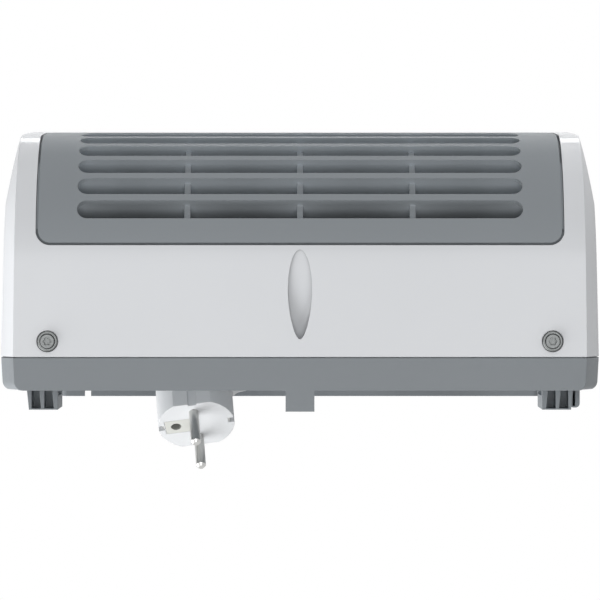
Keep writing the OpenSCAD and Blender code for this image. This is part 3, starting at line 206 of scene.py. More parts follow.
class Nodes(Tree):
    """Short way to build one material."""

    def __init__(self, name: str) -> None:
        """Makes an empty material.

        Args:
            name: The material's name.
        """
        self.material = bpy.data.materials.new(name)
        self.material.use_nodes = True
        super().__init__(self.material.node_tree)
        self.output = self.add("ShaderNodeOutputMaterial")

    def noise(self, scale: float, detail: float = 2.0, stretch: Point = (1, 1, 1)) -> Socket:
        """Adds object-space noise.

        Args:
            scale: Noise scale per metre.
            detail: Number of octaves.
            stretch: Scale factors of the three axes.

        Returns:
            The noise value's socket.
        """
        coords = self.add("ShaderNodeTexCoord").outputs["Object"]
        mapping = self.add("ShaderNodeMapping", Vector=coords, Scale=stretch)
        return self.add(
            "ShaderNodeTexNoise", Vector=mapping.outputs["Vector"], Scale=scale, Detail=detail
        ).outputs["Fac"]

    def mottle(self, kind: Mottle) -> Socket:
        """Returns the socket of noise that fills a range."""
        return self.remap(self.noise(kind.scale, kind.detail), kind.span, kind.to)

    def blend(self, fac: Socket | float, first: Socket | Colour, second: Socket | Colour) -> Socket:
        """Mixes two colours.

        Args:
            fac: Share of the second colour, a number or a socket.
            first: A colour or a socket.
            second: A colour or a socket.

        Returns:
            The mixed colour's socket.
        """
        node = self.add("ShaderNodeMix")
        node.data_type = "RGBA"
        for number, value in zip(MIX_INPUTS, (fac, first, second)):
            self.put(node, number, (*value, 1.0) if isinstance(value, tuple) else value)
        return node.outputs[MIX_RESULT]

    def within(self, half_width: float, front_of: float, fade: float = 0.001) -> Socket:
        """Finds the part of the heater that lies near its middle plane and towards the room.

        Args:
            half_width: Largest distance from the middle plane in metres.
            front_of: Y in metres that the part stays in front of.
            fade: Width of the part's soft border in metres.

        Returns:
            The mask's socket, 1 inside.
        """
        place_in = self.add("ShaderNodeTexCoord").outputs["Object"]
        split = self.add("ShaderNodeSeparateXYZ", Vector=place_in)
        side = self.calc("ABSOLUTE", split.outputs["X"])
        near = self.remap(side, (half_width, half_width + fade), (1.0, 0.0))
        ahead = self.remap(split.outputs["Y"], (front_of, front_of + fade), (1.0, 0.0))
        return self.calc("MULTIPLY", near, ahead)

    def edge_mask(self, radius: float, full: float = 0.85) -> Socket:
        """Finds edges: 0 on flats and up to 1 within a radius of an edge.

        Args:
            radius: Reach of the mask in metres.
            full: Cosine of the turn at which the mask is full.

        Returns:
            The mask's socket.
        """
        soft = self.add("ShaderNodeBevel", Radius=radius).outputs["Normal"]
        hard = self.add("ShaderNodeNewGeometry").outputs["Normal"]
        dot = self.add("ShaderNodeVectorMath")
        dot.operation = "DOT_PRODUCT"
        self.put(dot, 0, soft)
        self.put(dot, 1, hard)
        return self.remap(dot.outputs["Value"], (1.0, full), (0.0, 1.0))

    def shader(self, soft_edge: float, bump: Bump, **sockets: object) -> bpy.types.Material:
        """Adds the surface shader with softened edges and a bump.

        Args:
            soft_edge: Radius of the softened edges in metres.
            bump: Height socket, bump distance in metres and strength.
            sockets: Inputs of the principled shader.

        Returns:
            The finished material.
        """
        soft = self.add("ShaderNodeBevel", Radius=soft_edge).outputs["Normal"]
        height, distance, strength = bump
        rough = self.add(
            "ShaderNodeBump", Height=height, Distance=distance, Strength=strength, Normal=soft
        )
        surface = self.add("ShaderNodeBsdfPrincipled", Normal=rough.outputs["Normal"], **sockets)
        self.put(self.output, "Surface", surface.outputs["BSDF"])
        return self.material


@dataclass(frozen=True)
class PaintedRecessLight:
    """Painted light and shade: a tone painted on a surface where it lies hidden in hollows.

    The tone is a share of the finish's colour: over 1 it paints light into the hollows, under 1 it
    paints shade there. Reach is how far away a wall counts, in metres. The tone is full where less
    than the shut share of the surroundings is in sight, and nil from the open share on. A zone
    limits
    it: half its width and the Y that it stays in front of, in metres.
    """

    tone: float
    reach: float = 0.02
    shut: float = 0.1
    open: float = 0.75
    zone: Pair | None = None


@dataclass(frozen=True)
class MouldedPlastic:
    """Moulded plastic with a fine spark-eroded grain and slightly rubbed edges.

    The grain is a noise scale per metre and the depth its height. Scuffs reach a multiple of the
    edge radius, and add the edge light's share and a small lift to the colour. The gloss is the
    specular level and the polish the weight of a clear coat. Painted light and shade may lighten or
    darken its hollows.
    """

    CLOUDS: ClassVar[Mottle] = Mottle(9.0)
    CLOUD_TONE: ClassVar[float] = 0.965
    SCUFFS: ClassVar[Mottle] = Mottle(160.0, 4.0, to=(0.2, 0.9), span=(0.35, 0.75))
    SCUFF_REACH: ClassVar[float] = 1.6
    SCUFF_LIFT: ClassVar[float] = 0.01
    GRAIN_STRENGTH: ClassVar[float] = 0.5
    SHINE: ClassVar[float] = 420.0
    SHINE_SPREAD: ClassVar[Pair] = (-0.03, 0.04)
    POLISH_ROUGHNESS: ClassVar[float] = 0.09

    name: str
    colour: Colour
    roughness: float = 0.45
    grain: float = 2600.0
    depth: float = 0.00003
    edge_light: float = 0.12
    edge_radius: float = 0.0004
    gloss: float = 0.25
    polish: float = 0.0
    # Painted light and shade in the hollows, where the finish has any.
    painted_recess_light: PaintedRecessLight | None = None

    def build(self) -> bpy.types.Material:
        """Builds the material.

        Returns:
            The finished material.
        """
        n = Nodes(self.name)
        base = n.blend(n.mottle(self.CLOUDS), toned(self.colour, self.CLOUD_TONE), self.colour)
        bright = toned(self.colour, 1 + self.edge_light)
        lighter = tuple(min(1.0, c + self.SCUFF_LIFT) for c in bright)
        edges = n.edge_mask(self.edge_radius * self.SCUFF_REACH)
        base = n.blend(n.calc("MULTIPLY", edges, n.mottle(self.SCUFFS)), base, lighter)
        # Painted light and shade: where little of the surroundings is in sight, the colour is
        # painted lighter where the tone is over 1 and darker where it is under 1.
        if self.painted_recess_light:
            openness = n.add("ShaderNodeAmbientOcclusion", Distance=self.painted_recess_light.reach).outputs["AO"]
            depth = n.remap(openness, (self.painted_recess_light.shut, self.painted_recess_light.open), (1.0, 0.0))
            if self.painted_recess_light.zone:
                depth = n.calc("MULTIPLY", depth, n.within(*self.painted_recess_light.zone))
            base = n.blend(depth, base, toned(self.colour, self.painted_recess_light.tone))
        shine = spread(self.roughness, self.SHINE_SPREAD)
        return n.shader(
            self.edge_radius,
            (n.noise(self.grain), self.depth, self.GRAIN_STRENGTH),
            Base_Color=base,
            Roughness=n.mottle(Mottle(self.SHINE, to=shine)),
            Specular_IOR_Level=self.gloss,
            Coat_Weight=self.polish,
            Coat_Roughness=self.POLISH_ROUGHNESS,
        )


@dataclass(frozen=True)
class PlatedMetal:
    """Plated or bare metal with drawn streaks and faint clouding.

    The streaks are noise with a scale per metre and a detail, stretched along the axes. The depth
    is their height, and the clouding a share of the colour.
    """

    CLOUDS: ClassVar[Mottle] = Mottle(120.0, 4.0)
    STREAKS: ClassVar[Pair] = (700.0, 3.0)
    STREAK_STRENGTH: ClassVar[float] = 0.4

    name: str
    colour: Colour
    roughness: float = 0.3
    streak: Point = (1, 1, 12)
    depth: float = 0.00002
    edge_radius: float = EDGE_RADIUS
    clouding: float = 0.14

    def build(self) -> bpy.types.Material:
        """Builds the material.

        Returns:
            The finished material.
        """
        n = Nodes(self.name)
        dull = toned(self.colour, 1 - self.clouding)
        streaks = n.noise(*self.STREAKS, self.streak)
        shine = spread(self.roughness, (-self.clouding / 2, self.clouding / 2))
        return n.shader(
            self.edge_radius,
            (streaks, self.depth, self.STREAK_STRENGTH),
            Base_Color=n.blend(n.mottle(self.CLOUDS), dull, self.colour),
            Roughness=n.remap(streaks, NOISE_SPAN, shine),
            Metallic=1.0,
        )


@dataclass(frozen=True)
class SoftSheath:
    """Flexible cable sheath or rubber: matt, with smears and a faint sheen.

    The skin is noise with a scale per metre and a detail, and its bump a height and a strength.
    """

    SMEARS: ClassVar[Mottle] = Mottle(40.0, 4.0, span=(0.35, 0.7))
    SMEAR_TONE: ClassVar[float] = 0.93
    SKIN: ClassVar[Pair] = (1800.0, 3.0)
    SKIN_BUMP: ClassVar[Pair] = (0.00003, 0.5)
    SHINE_SPREAD: ClassVar[Pair] = (-0.05, 0.08)
    SHEEN: ClassVar[float] = 0.1

    name: str
    colour: Colour
    roughness: float = 0.55

    def build(self) -> bpy.types.Material:
        """Builds the material.

        Returns:
            The finished material.
        """
        n = Nodes(self.name)
        dull = toned(self.colour, self.SMEAR_TONE)
        skin = n.noise(*self.SKIN)
        return n.shader(
            EDGE_RADIUS,
            (skin, *self.SKIN_BUMP),
            Base_Color=n.blend(n.mottle(self.SMEARS), dull, self.colour),
            Roughness=n.remap(skin, NOISE_SPAN, spread(self.roughness, self.SHINE_SPREAD)),
            Sheen_Weight=self.SHEEN,
        )


@dataclass(frozen=True)
class Winding:
    """Lacquered wire laid turn beside turn, as a wave whose bump is a height and a strength."""

    WAVER: ClassVar[float] = 0.4
    GAP_TONE: ClassVar[float] = 0.45
    WIRE_BUMP: ClassVar[Pair] = (0.0002, 0.8)

    name: str
    colour: Colour
    roughness: float = 0.32
    metal: float = 0.6
    turns: float = 900.0

    def build(self) -> bpy.types.Material:
        """Builds the material.

        Returns:
            The finished material.
        """
        n = Nodes(self.name)
        coords = n.add("ShaderNodeTexCoord").outputs["Object"]
        wave = n.add("ShaderNodeTexWave", Vector=coords, Scale=self.turns, Distortion=self.WAVER)
        wave.bands_direction = "X"
        height = wave.outputs["Fac"]
        return n.shader(
            EDGE_RADIUS,
            (height, *self.WIRE_BUMP),
            Base_Color=n.blend(height, toned(self.colour, self.GAP_TONE), self.colour),
            Roughness=self.roughness,
            Metallic=self.metal,
        )


@dataclass(frozen=True)
class ClearLens:
    """Tinted clear plastic of the pilot lamp, with a ripple of a height and a strength."""

    RIPPLE: ClassVar[float] = 900.0
    RIPPLE_TONE: ClassVar[float] = 0.7
    RIPPLE_BUMP: ClassVar[Pair] = (0.00004, 0.3)

    name: str
    colour: Colour
    roughness: float = 0.12
    clear: float = 0.45

    def build(self) -> bpy.types.Material:
        """Builds the material.

        Returns:
            The finished material.
        """
        n = Nodes(self.name)
        ripple = n.noise(self.RIPPLE)
        share = n.remap(ripple, NOISE_SPAN, (0.0, 1.0))
        return n.shader(
            EDGE_RADIUS,
            (ripple, *self.RIPPLE_BUMP),
            Base_Color=n.blend(share, toned(self.colour, self.RIPPLE_TONE), self.colour),
            Roughness=self.roughness,
            Transmission_Weight=self.clear,
        )


class Finish(Enum):
    """Every finish on the heater."""

    # Painted shade: the cover is painted darker where it lies hidden, as in its scoop and gaps.
    COVER = MouldedPlastic(
        "cover_plastic", srgb("D8DADD"), roughness=0.5, grain=2400.0, depth=0.00001,
        edge_light=0.05, edge_radius=0.0005, gloss=0.06, polish=0.2,
        painted_recess_light=PaintedRecessLight(tone=0.75, reach=0.014, shut=0.7, open=1.0),
    )
    # Painted light: the housing is painted lighter in its hollows, such as the feet's pockets, to
    # lift their shade.
    HOUSING = MouldedPlastic(
        "housing_plastic", srgb("82878B"), roughness=0.5, painted_recess_light=PaintedRecessLight(tone=1.7)
    )
    # Painted light: within the outlet's zone the slots' insides are painted lighter, to lift their
    # shade.
    GRILLE = MouldedPlastic(
        "grille_plastic", srgb("8D9296"), roughness=0.6, depth=0.000004, edge_light=0.04,
        edge_radius=0.00015, gloss=0.08, painted_recess_light=PaintedRecessLight(tone=2.3, zone=(0.106, -0.086)),
    )
    BRACKET = MouldedPlastic("bracket_plastic", srgb("7E8387"), roughness=0.55)
    KNOB = MouldedPlastic(
        "knob_plastic", srgb("DADCDD"), roughness=0.33, depth=0.00002, edge_light=0.06
    )
    PLUG = MouldedPlastic(
        "plug_plastic", srgb("D8DADC"), roughness=0.38, grain=2200.0, depth=0.00002,
        edge_light=0.05, edge_radius=0.0006,
    )
    # Painted shade: the socket plate is painted darker in its holes and hollows.
    SOCKET = MouldedPlastic(
        "socket_plastic", srgb("CBCCC7"), roughness=0.42, grain=2200.0, depth=0.00002,
        edge_light=0.1, painted_recess_light=PaintedRecessLight(tone=0.5, reach=0.006, shut=0.35, open=0.8),
    )
    BLACK = MouldedPlastic("black_plastic", srgb("26282A"), roughness=0.5)
    CERAMIC = MouldedPlastic("ceramic", srgb("D9D5C9"), roughness=0.6, grain=1500.0, depth=0.00005)
    PRINT = MouldedPlastic("dial_print", srgb("F2F3F3"), roughness=0.6, grain=3000.0, depth=0.00001)
    LEAD = SoftSheath("lead_sheath", srgb("BCBEC0"))
    RUBBER = SoftSheath("bearing_rubber", srgb("2A2B2C"), roughness=0.7)
    SCREW = PlatedMetal("screw_zinc", srgb("6C6E6E"), roughness=0.42, streak=(6, 6, 1))
    STEEL = PlatedMetal("bright_steel", srgb("B4B6B8"), roughness=0.28)
    SHEET = PlatedMetal(
        "galvanised_sheet", srgb("B9BDC0"), roughness=0.42, streak=(1, 3, 1), depth=0.00004
    )
    ALUMINIUM = PlatedMetal("rolled_aluminium", srgb("CDCFD1"), roughness=0.35, streak=(1, 1, 8))
    CORE = PlatedMetal(
        "laminated_core", srgb("55585B"), roughness=0.6, streak=(14, 1, 1), depth=0.0001
    )
    NICKEL = PlatedMetal(
        "pin_nickel", srgb("C2C2C0"), roughness=0.33, streak=(1, 1, 1), depth=0.000001,
        edge_radius=0.00004, clouding=0.02,
    )
    WINDING = Winding("coil_winding", srgb("B5703C"))
    LENS = ClearLens("lamp_lens", srgb("F08A1E"))

    def material(self) -> bpy.types.Material:
        """Returns the finish's material, made once."""
        return bpy.data.materials.get(self.value.name) or self.value.build()


# The record's slot of each node's finish.
SLOT_FINISH: dict[str, Finish] = {
    "housing_grey": Finish.HOUSING,
    "cover_white": Finish.COVER,
    "grille_grey": Finish.GRILLE,
    "knob_white": Finish.KNOB,
    "steel": Finish.STEEL,
    "black_plastic": Finish.BLACK,
    "lamp_lens": Finish.LENS,
    "screw_steel": Finish.SCREW,
    "fan_aluminium": Finish.ALUMINIUM,
    "bearing_rubber": Finish.RUBBER,
    "galvanised": Finish.SHEET,
    "ceramic": Finish.CERAMIC,
    "core_steel": Finish.CORE,
    "copper": Finish.WINDING,
    "lead_white": Finish.LEAD,
    "plug_white": Finish.PLUG,
    "nickel": Finish.NICKEL,
    "socket_cream": Finish.SOCKET,
    "bracket_grey": Finish.BRACKET,
}


def smoothing_group(angle: float) -> bpy.types.NodeTree:
    """Builds the geometry tree that smooths shallow edges and keeps sharp ones.

    Args:
        angle: Edges that turn by more than this, in degrees, stay sharp.

    Returns:
        The node tree, made once for each angle.
    """
    name = f"smooth_below_{angle:.0f}_degrees"
    if name in bpy.data.node_groups:
        return bpy.data.node_groups[name]
    tree = bpy.data.node_groups.new(name, "GeometryNodeTree")
    tree.interface.new_socket("Geometry", in_out="INPUT", socket_type="NodeSocketGeometry")
    tree.interface.new_socket("Geometry", in_out="OUTPUT", socket_type="NodeSocketGeometry")
    start = tree.nodes.new("NodeGroupInput")
    weld = tree.nodes.new("GeometryNodeMergeByDistance")
    weld.inputs["Distance"].default_value = SAME_POINT
    faces = tree.nodes.new("GeometryNodeSetShadeSmooth")
    edges = tree.nodes.new("GeometryNodeSetShadeSmooth")
    edges.domain = "EDGE"
    turn = tree.nodes.new("GeometryNodeInputMeshEdgeAngle")
    shallow = tree.nodes.new("FunctionNodeCompare")
    shallow.operation = "LESS_EQUAL"
    shallow.inputs["B"].default_value = math.radians(angle)
    end = tree.nodes.new("NodeGroupOutput")
    tree.links.new(start.outputs[0], weld.inputs["Geometry"])
    tree.links.new(weld.outputs["Geometry"], faces.inputs["Geometry"])
    tree.links.new(faces.outputs["Geometry"], edges.inputs["Geometry"])
    tree.links.new(turn.outputs["Unsigned Angle"], shallow.inputs["A"])
    tree.links.new(shallow.outputs["Result"], edges.inputs["Shade Smooth"])
    tree.links.new(edges.outputs["Geometry"], end.inputs[0])
    return tree


def smooth(piece: bpy.types.Object, angle: float) -> None:
    """Smooths a piece with a modifier, apart from edges that turn by more than an angle."""
    modifier = piece.modifiers.new("smooth_shallow_edges", "NODES")
    modifier.node_group = smoothing_group(angle)


def make_piece(
    name: str,
    mesh: bpy.types.Mesh,
    finish: Finish,
    body: str = "root",
) -> bpy.types.Object:
    """Makes an object of a mesh, gives it a finish and lets it ride.

    Args:
        name: The piece's name.
        mesh: Its mesh, in metres in the row frame.
        finish: Its finish.
        body: The CAD body that it moves with.

    Returns:
        The new object.
    """
    piece = bpy.data.objects.new(name, mesh)
    bpy.context.scene.collection.objects.link(piece)
    mesh.materials.append(finish.material())
    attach(piece, body)
    return piece


@dataclass
class CadDressing:
    """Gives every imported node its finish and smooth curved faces.

    The crisp nodes keep edges sharp from an angle of their own, in degrees.
    """

    slots: dict[str, Finish] = field(default_factory=lambda: dict(SLOT_FINISH))
    crisp: dict[str, float] = field(default_factory=lambda: {"outlet_grille": 4.0})

    def build(self) -> list[bpy.types.Object]:
        """Dresses all the nodes of the frame.

        Returns:
            The dressed nodes.
        """
        slot_of = {row["node"]: row["material_slot"] for row in frame["record"]["subparts"]}
        for name, node in frame["nodes"].items():
            node.data.materials.clear()
            node.data.materials.append(self.slots[slot_of[name]].material())
            smooth(node, self.crisp.get(name, SHARP_ANGLE))
        return list(frame["nodes"].values())


@dataclass
class MainsLead:
    """The free lead: straight out of its entry, round the stowed coil, and on to the plug.

    The coil winds inwards in one layer and outwards in the next, and the ease rounds its turning
    point. It changes the layer within a share of a turn.
    """

    diameter: float = 7.0
    sides: int = 20
    lead_points: tuple[Point, ...] = (
        (27, -15.5, 276), (27, -15.5, 268), (27, -15.8, 261), (27, -16.4, 254),
        (27, -17, 247), (27, -17.2, 240), (27, -17.2, 232),
    )
    tail_points: tuple[Point, ...] = (
        (27, -9.7, 218), (27, -9.7, 206), (27, -9.8, 194), (27, -10.1, 184),
        (26.9, -10.6, 175), (25.8, -11.3, 166.3), (22.3, -12.2, 158), (16.8, -13, 150.8),
        (9.5, -13.4, 145.1), (1.2, -13.2, 141.6), (-9.6, -12, 140.4),
    )
    coil_centre: Pair = (78.0, 225.0)
    coil_radius: float = 51.0
    coil_pitch: float = 7.6
    coil_turns: int = 6
    climb_turns: float = 0.5
    inner_layer: float = -17.2
    layer_step: float = 7.5
    steps: int = 48
    ease: float = 0.01

    def radius_at(self, turn: float) -> float:
        """Finds how wide the coil is after a number of turns.

        Args:
            turn: Turns from the coil's start.

        Returns:
            The radius of its centreline in millimetres.
        """
        middle = self.coil_turns / 2
        depth = math.sqrt(middle**2 + self.ease) - math.sqrt((turn - middle) ** 2 + self.ease)
        return self.coil_radius - self.coil_pitch * depth

    def coil_point(self, turn: float) -> Point:
        """Finds a point of the coil.

        Args:
            turn: Turns from the coil's start.

        Returns:
            The centreline's point in millimetres.
        """
        rad = self.radius_at(turn)
        climb = min(1.0, max(0.0, (turn - self.coil_turns / 2) / self.climb_turns + 0.5))
        angle = 2 * math.pi * turn
        return (
            self.coil_centre[0] - rad * math.cos(angle),
            self.inner_layer + self.layer_step * climb,
            self.coil_centre[1] - rad * math.sin(angle),
        )

    def route(self) -> list[Vector]:
        """Joins the lead, the coil and the tail.

        Returns:
            The whole centreline in metres.
        """
        coil = [self.coil_point(i / self.steps) for i in range(self.coil_turns * self.steps + 1)]
        lead = self._spline(self.lead_points)
        tail = self._spline(self.tail_points)
        return [place(p) for p in [*lead, *coil, *tail]]

    @staticmethod
    def _spline(points: tuple[Point, ...], parts: int = 4) -> list[Point]:
        """Runs a smooth curve through points.

        Args:
            points: The points to pass.
            parts: Pieces between two points.

        Returns:
            The finer list, with the same first and last point.
        """
        pts = [Vector(p) for p in points]
        ends = [pts[0] * 2 - pts[1], *pts, pts[-1] * 2 - pts[-2]]
        out: list[Point] = []
        for i in range(1, len(ends) - 2):
            a, b, c, d = ends[i - 1 : i + 3]
            for k in range(parts):
                t = k / parts
                square = 2 * a - 5 * b + 4 * c - d
                cube = 3 * b - a - 3 * c + d
                out.append(tuple(0.5 * (2 * b + (c - a) * t + square * t**2 + cube * t**3)))
        out.append(tuple(pts[-1]))
        return out

    def build(self) -> list[bpy.types.Object]:
        """Returns:
            The lead, alone in a list.
        """
        path = self.route()
        mesh = tube_mesh("mains_lead", path, self.diameter * MM / 2, self.sides)
        lead = make_piece("mains_lead", mesh, Finish.LEAD)
        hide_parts("cord_lead", "cord_coil", "cord_tail")
        return [lead]


def tube_mesh(name: str, path: list[Vector], radius: float, sides: int) -> bpy.types.Mesh:
    """Sweeps a round tube along a path without twist.

    Args:
        name: The mesh's name.
        path: Centreline points in metres.
        radius: Tube radius in metres.
        sides: Number of sides.

    Returns:
        The closed mesh, smooth shaded.
    """
    bm = bmesh.new()
    last = len(path) - 1
    along = [(path[min(i + 1, last)] - path[max(i - 1, 0)]).normalized() for i in range(last + 1)]
    across = along[0].orthogonal().normalized()
    rings = []
    for i, point in enumerate(path):
        if i:
            across = along[i - 1].rotation_difference(along[i]) @ across
        other = along[i].cross(across)
        rings.append([
            bm.verts.new(point + radius * (math.cos(a) * across + math.sin(a) * other))
            for a in (2 * math.pi * k / sides for k in range(sides))
        ])
    for low, high in zip(rings, rings[1:]):
        for k in range(sides):
            bm.faces.new((low[k], low[(k + 1) % sides], high[(k + 1) % sides], high[k]))
    bm.faces.new(list(reversed(rings[0])))
    bm.faces.new(rings[-1])
    bmesh.ops.recalc_face_normals(bm, faces=bm.faces)
    mesh = bpy.data.meshes.new(name)
    bm.to_mesh(mesh)
    bm.free()
    for polygon in mesh.polygons:
        polygon.use_smooth = True
    return mesh


@dataclass
class DialPrint:
    """Printed marks round the two knobs and the inlaid pointers of the knobs.

    Angles are in degrees, clockwise from the dial's top, and the switch's steps are counted from
    there.
    """

    knob_x: float = 46.0
    slope_y: float = -102.91
    slope_z: float = 432.76
    slope_angle: float = 54.0
    scale_ring: float = 19.6
    sign_ring: float = 21.1
    thickness: float = 0.12
    letter: float = 4.4
    tick: Pair = (0.55, 2.0)
    scale_turn: float = 270.0
    scale_steps: int = 36
    scale_width: Pair = (0.25, 2.2)
    mode_step: float = 45.0
    figures: tuple[tuple[int, str], ...] = ((0, "0"), (2, "1"), (3, "2"))
    fan_step: int = 1
    fan_blade: tuple[Pair, ...] = (
        (0.2, 0.0), (0.75, 0.5), (1.0, 1.3), (0.7, 1.9), (0.1, 2.0), (-0.1, 1.1),
    )
    fan_turns: tuple[float, ...] = (0, 120, 240)
    pointer: Point = (1.1, 7.6, 0.3)
    pointer_at: Pair = (10.0, 13.95)
    weld: float = 0.001

    def on_slope(self, x: float) -> Matrix:
        """Gives the placing of a piece drawn flat, X to the right and Y up the slope.

        Args:
            x: Its middle across the heater, in millimetres.

        Returns:
            The placing, from millimetres to metres in the row frame.
        """
        middle = place((x, self.slope_y, self.slope_z))
        turn = Matrix.Rotation(math.radians(self.slope_angle), 4, "X")
        return Matrix.Translation(middle) @ turn @ Matrix.Scale(MM, 4)

    def build(self) -> list[bpy.types.Object]:
        """Makes the thermostat's scale, the switch's signs and both pointers.

        Returns:
            The four pieces.
        """
        return [
            self._scale(),
            self._signs(),
            self._pointer(self.knob_x, "thermostat"),
            self._pointer(-self.knob_x, "mode"),
        ]

    @staticmethod
    def _round(angle: float, radius: float) -> Pair:
        """Returns a place on a ring, its angle in degrees clockwise from the dial's top."""
        rad = math.radians(90 - angle)
        return radius * math.cos(rad), radius * math.sin(rad)

    def _prism(self, bm: bmesh.types.BMesh, outline: list[Pair]) -> None:
        """Adds a thin flat piece with the given outline.

        Args:
            bm: The drawing that gets it.
            outline: Its corners in order.
        """
        low = [bm.verts.new((x, y, -self.thickness)) for x, y in outline]
        high = [bm.verts.new((x, y, self.thickness)) for x, y in outline]
        count = len(outline)
        for k in range(count):
            bm.faces.new((low[k], low[(k + 1) % count], high[(k + 1) % count], high[k]))
        bm.faces.new(list(reversed(low)))
        bm.faces.new(high)

    def _finish(
        self,
        bm: bmesh.types.BMesh,
        name: str,
        x: float,
        slot: str = "knob_white",
        body: str = "root",
    ) -> bpy.types.Object:
        """Places a flat drawing on the slope and makes it a piece.

        The print has a finish of its own, though the knobs' slot.

        Args:
            bm: The drawing, used up here.
            name: The piece's name.
            x: Its middle across the heater.
            slot: The record's material slot.
            body: The body that it moves with.

        Returns:
            The piece.
        """
        bmesh.ops.remove_doubles(bm, verts=bm.verts, dist=self.weld)
        bmesh.ops.recalc_face_normals(bm, faces=bm.faces)
        bm.transform(self.on_slope(x))
        mesh = bpy.data.meshes.new(name)
        bm.to_mesh(mesh)
        bm.free()
        finish = Finish.PRINT if slot == "knob_white" else SLOT_FINISH[slot]
        return make_piece(name, mesh, finish, body)

    def _scale(self) -> bpy.types.Object:
        """Draws a scale that widens with the warmth, and a tick where it starts.

        Returns:
            The scale.
        """
        bm = bmesh.new()
        narrow, wide = self.scale_width
        gap = self.mode_step / 2
        inner: list[Pair] = []
        outer: list[Pair] = []
        for k in range(self.scale_steps + 1):
            share = k / self.scale_steps
            angle = gap + (self.scale_turn - gap) * share
            inner.append(self._round(angle, self.scale_ring))
            outer.append(self._round(angle, self.scale_ring + narrow + (wide - narrow) * share))
        self._prism(bm, inner + outer[::-1])
        width, length = self.tick
        sides, ends = (-width / 2, width / 2), (self.scale_ring, self.scale_ring + length)
        corners = ((0, 0), (1, 0), (1, 1), (0, 1))
        self._prism(bm, [(sides[i], ends[j]) for i, j in corners])
        return self._finish(bm, "thermostat_scale", self.knob_x)

    def _signs(self) -> bpy.types.Object:
        """Draws the switch's signs: 0 for off, a fan, then 1 and 2 for the two heats.

        Returns:
            The signs.
        """
        bm = bmesh.new()
        for step, sign in self.figures:
            self._figure(bm, sign, self._round(step * self.mode_step, self.sign_ring))
        x0, y0 = self._round(self.fan_step * self.mode_step, self.sign_ring)
        for turn in self.fan_turns:
            cos, sin = math.cos(math.radians(turn)), math.sin(math.radians(turn))
            self._prism(
                bm, [(x0 + x * cos - y * sin, y0 + x * sin + y * cos) for x, y in self.fan_blade]
            )
        return self._finish(bm, "switch_signs", -self.knob_x)

    def _figure(self, bm: bmesh.types.BMesh, sign: str, at: Pair) -> None:
        """Adds one plain figure.

        Args:
            bm: The drawing that gets it.
            sign: The figure.
            at: Its middle.
        """
        text = bpy.data.curves.new(f"figure_{sign}", "FONT")
        text.body = sign
        text.size = self.letter
        text.extrude = self.thickness
        text.align_x, text.align_y = "CENTER", "CENTER"
        holder = bpy.data.objects.new(text.name, text)
        mesh = bpy.data.meshes.new_from_object(holder)
        mesh.transform(Matrix.Translation((*at, 0)))
        bm.from_mesh(mesh)
        bpy.data.meshes.remove(mesh)
        bpy.data.objects.remove(holder)
        bpy.data.curves.remove(text)

    def _pointer(self, x: float, body: str) -> bpy.types.Object:
        """Lays the grey pointer into a knob's groove.

        Args:
            x: The knob's middle across the heater.
            body: The knob's body.

        Returns:
            The pointer.
        """
        width, length, height = self.pointer
        up, level = self.pointer_at
        bm = bmesh.new()
        bmesh.ops.create_cube(bm, size=1.0)
        scaled = Matrix.Diagonal((width, length, height, 1))
        bm.transform(Matrix.Translation((0, up, level)) @ scaled)
        return self._finish(bm, f"{body}_pointer", x, "housing_grey", body)


@dataclass(frozen=True)
class Lamp:
    """A soft light: its place in millimetres, its sides in metres and its power in watts."""

    name: str
    at: Point
    size: Pair
    power: float


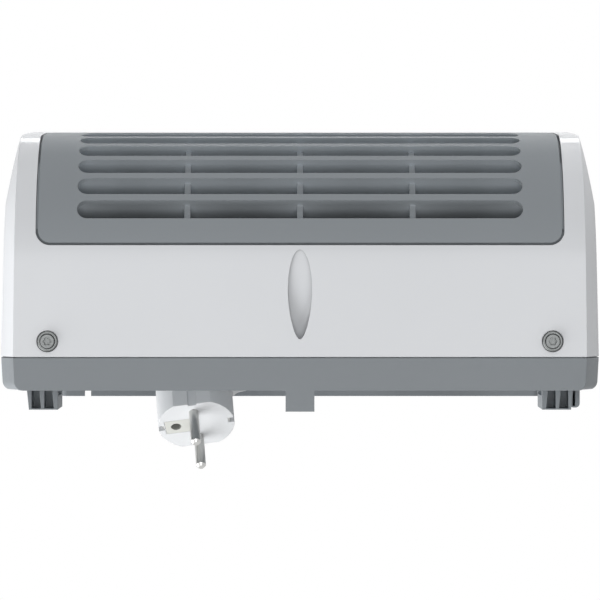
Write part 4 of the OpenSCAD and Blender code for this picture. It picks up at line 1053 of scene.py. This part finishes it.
@dataclass
class Studio:
    """Camera, lights, white surroundings and the pale floor far below.

    The key stands on the left and behind, broad lights below and in front, a fill towards the room
    and a high strip for the curve's sheen. All of them face the lit point near the heater's foot.
    The camera's places are in millimetres, and its clip span and the floor's sizes in metres.
    """

    lens: float = 297.87
    sensor: float = 36.0
    clip: Pair = (0.1, 200.0)
    aim_depth: float = 51.1
    camera_depth: float = 80.8
    camera_drop: float = 2270.0
    floor_drop: float = 6.2
    floor_size: float = 14.0
    floor_tone: float = 0.8
    lit_point: Point = (0, -60, 80)
    lamps: tuple[Lamp, ...] = (
        Lamp("key", (-1700, 1500, -100), (2.4, 2.4), 80),
        Lamp("below", (0, 200, -2200), (1.4, 1.4), 20),
        Lamp("front", (0, -2100, -700), (1.6, 1.6), 8),
        Lamp("room", (900, -2000, 900), (1.8, 1.8), 20),
        Lamp("strip", (0, -1824, 2507), (0.8, 0.62), 14),
    )
    ambient: float = 0.38

    def build(self) -> None:
        """Makes everything that isn't the heater."""
        self._camera()
        for lamp in self.lamps:
            self._light(lamp)
        self._world()
        self._floor()
        bpy.context.scene.view_settings.view_transform = "Standard"

    def _camera(self) -> None:
        """Looks up at the heater's underside, with the room at the picture's top."""
        data = bpy.data.cameras.new("camera")
        data.lens = self.lens
        data.sensor_width = self.sensor
        data.clip_start, data.clip_end = self.clip
        camera = bpy.data.objects.new("camera", data)
        bpy.context.scene.collection.objects.link(camera)
        camera.location = place((0, -self.camera_depth, -self.camera_drop))
        tilt = math.atan((self.camera_depth - self.aim_depth) / self.camera_drop)
        camera.rotation_euler = (math.pi - tilt, 0, 0)
        bpy.context.scene.camera = camera

    def _light(self, lamp: Lamp) -> None:
        """Adds one light, turned to the lit point.

        Args:
            lamp: The light's sizes.
        """
        data = bpy.data.lights.new(lamp.name, "AREA")
        data.shape = "RECTANGLE"
        data.size, data.size_y = lamp.size
        data.energy = lamp.power
        light = bpy.data.objects.new(lamp.name, data)
        bpy.context.scene.collection.objects.link(light)
        light.location = place(lamp.at)
        way = place(self.lit_point) - light.location
        light.rotation_euler = way.to_track_quat("-Z", "Y").to_euler()

    def _world(self) -> None:
        """White where the camera, glossy and clear surfaces look, and a plain level elsewhere."""
        world = bpy.data.worlds.new("studio")
        bpy.context.scene.world = world
        world.use_nodes = True
        n = Tree(world.node_tree)
        strength = n.remap(n.seen(), (0.0, 1.0), (self.ambient, 1.0))
        white = n.add("ShaderNodeBackground", Color=(1, 1, 1, 1), Strength=strength)
        n.add("ShaderNodeOutputWorld", Surface=white.outputs["Background"])

    def _floor(self) -> None:
        """Lays a pale floor further down than the camera, so that it hides nothing."""
        half = self.floor_size / 2
        mesh = bpy.data.meshes.new("floor")
        corners = [(-half, -half), (half, -half), (half, half), (-half, half)]
        mesh.from_pydata([(x, y, -self.floor_drop) for x, y in corners], [], [(0, 1, 2, 3)])
        floor = bpy.data.objects.new("floor", mesh)
        bpy.context.scene.collection.objects.link(floor)
        n = Nodes("pale_floor")
        paint = n.add("ShaderNodeBsdfDiffuse", Color=(*[self.floor_tone] * 3, 1.0))
        glow = n.add("ShaderNodeEmission", Color=(1, 1, 1, 1), Strength=1.0)
        mix = n.add("ShaderNodeMixShader", Fac=n.seen())
        for number, look in enumerate((paint, glow), 1):
            n.put(mix, number, look.outputs[0])
        n.put(n.output, "Surface", mix.outputs[0])
        mesh.materials.append(n.material)


def main() -> None:
    """Builds the studio, the lead, the dressing and the dial print, and reports each piece."""
    Studio().build()
    for part in (MainsLead(), CadDressing(), DialPrint()):
        for piece in part.build():
            faces = len(piece.data.polygons)
            LOG.info("%s: %s with %d faces", type(part).__name__, piece.name, faces)


if __name__ == "__main__":
    main()
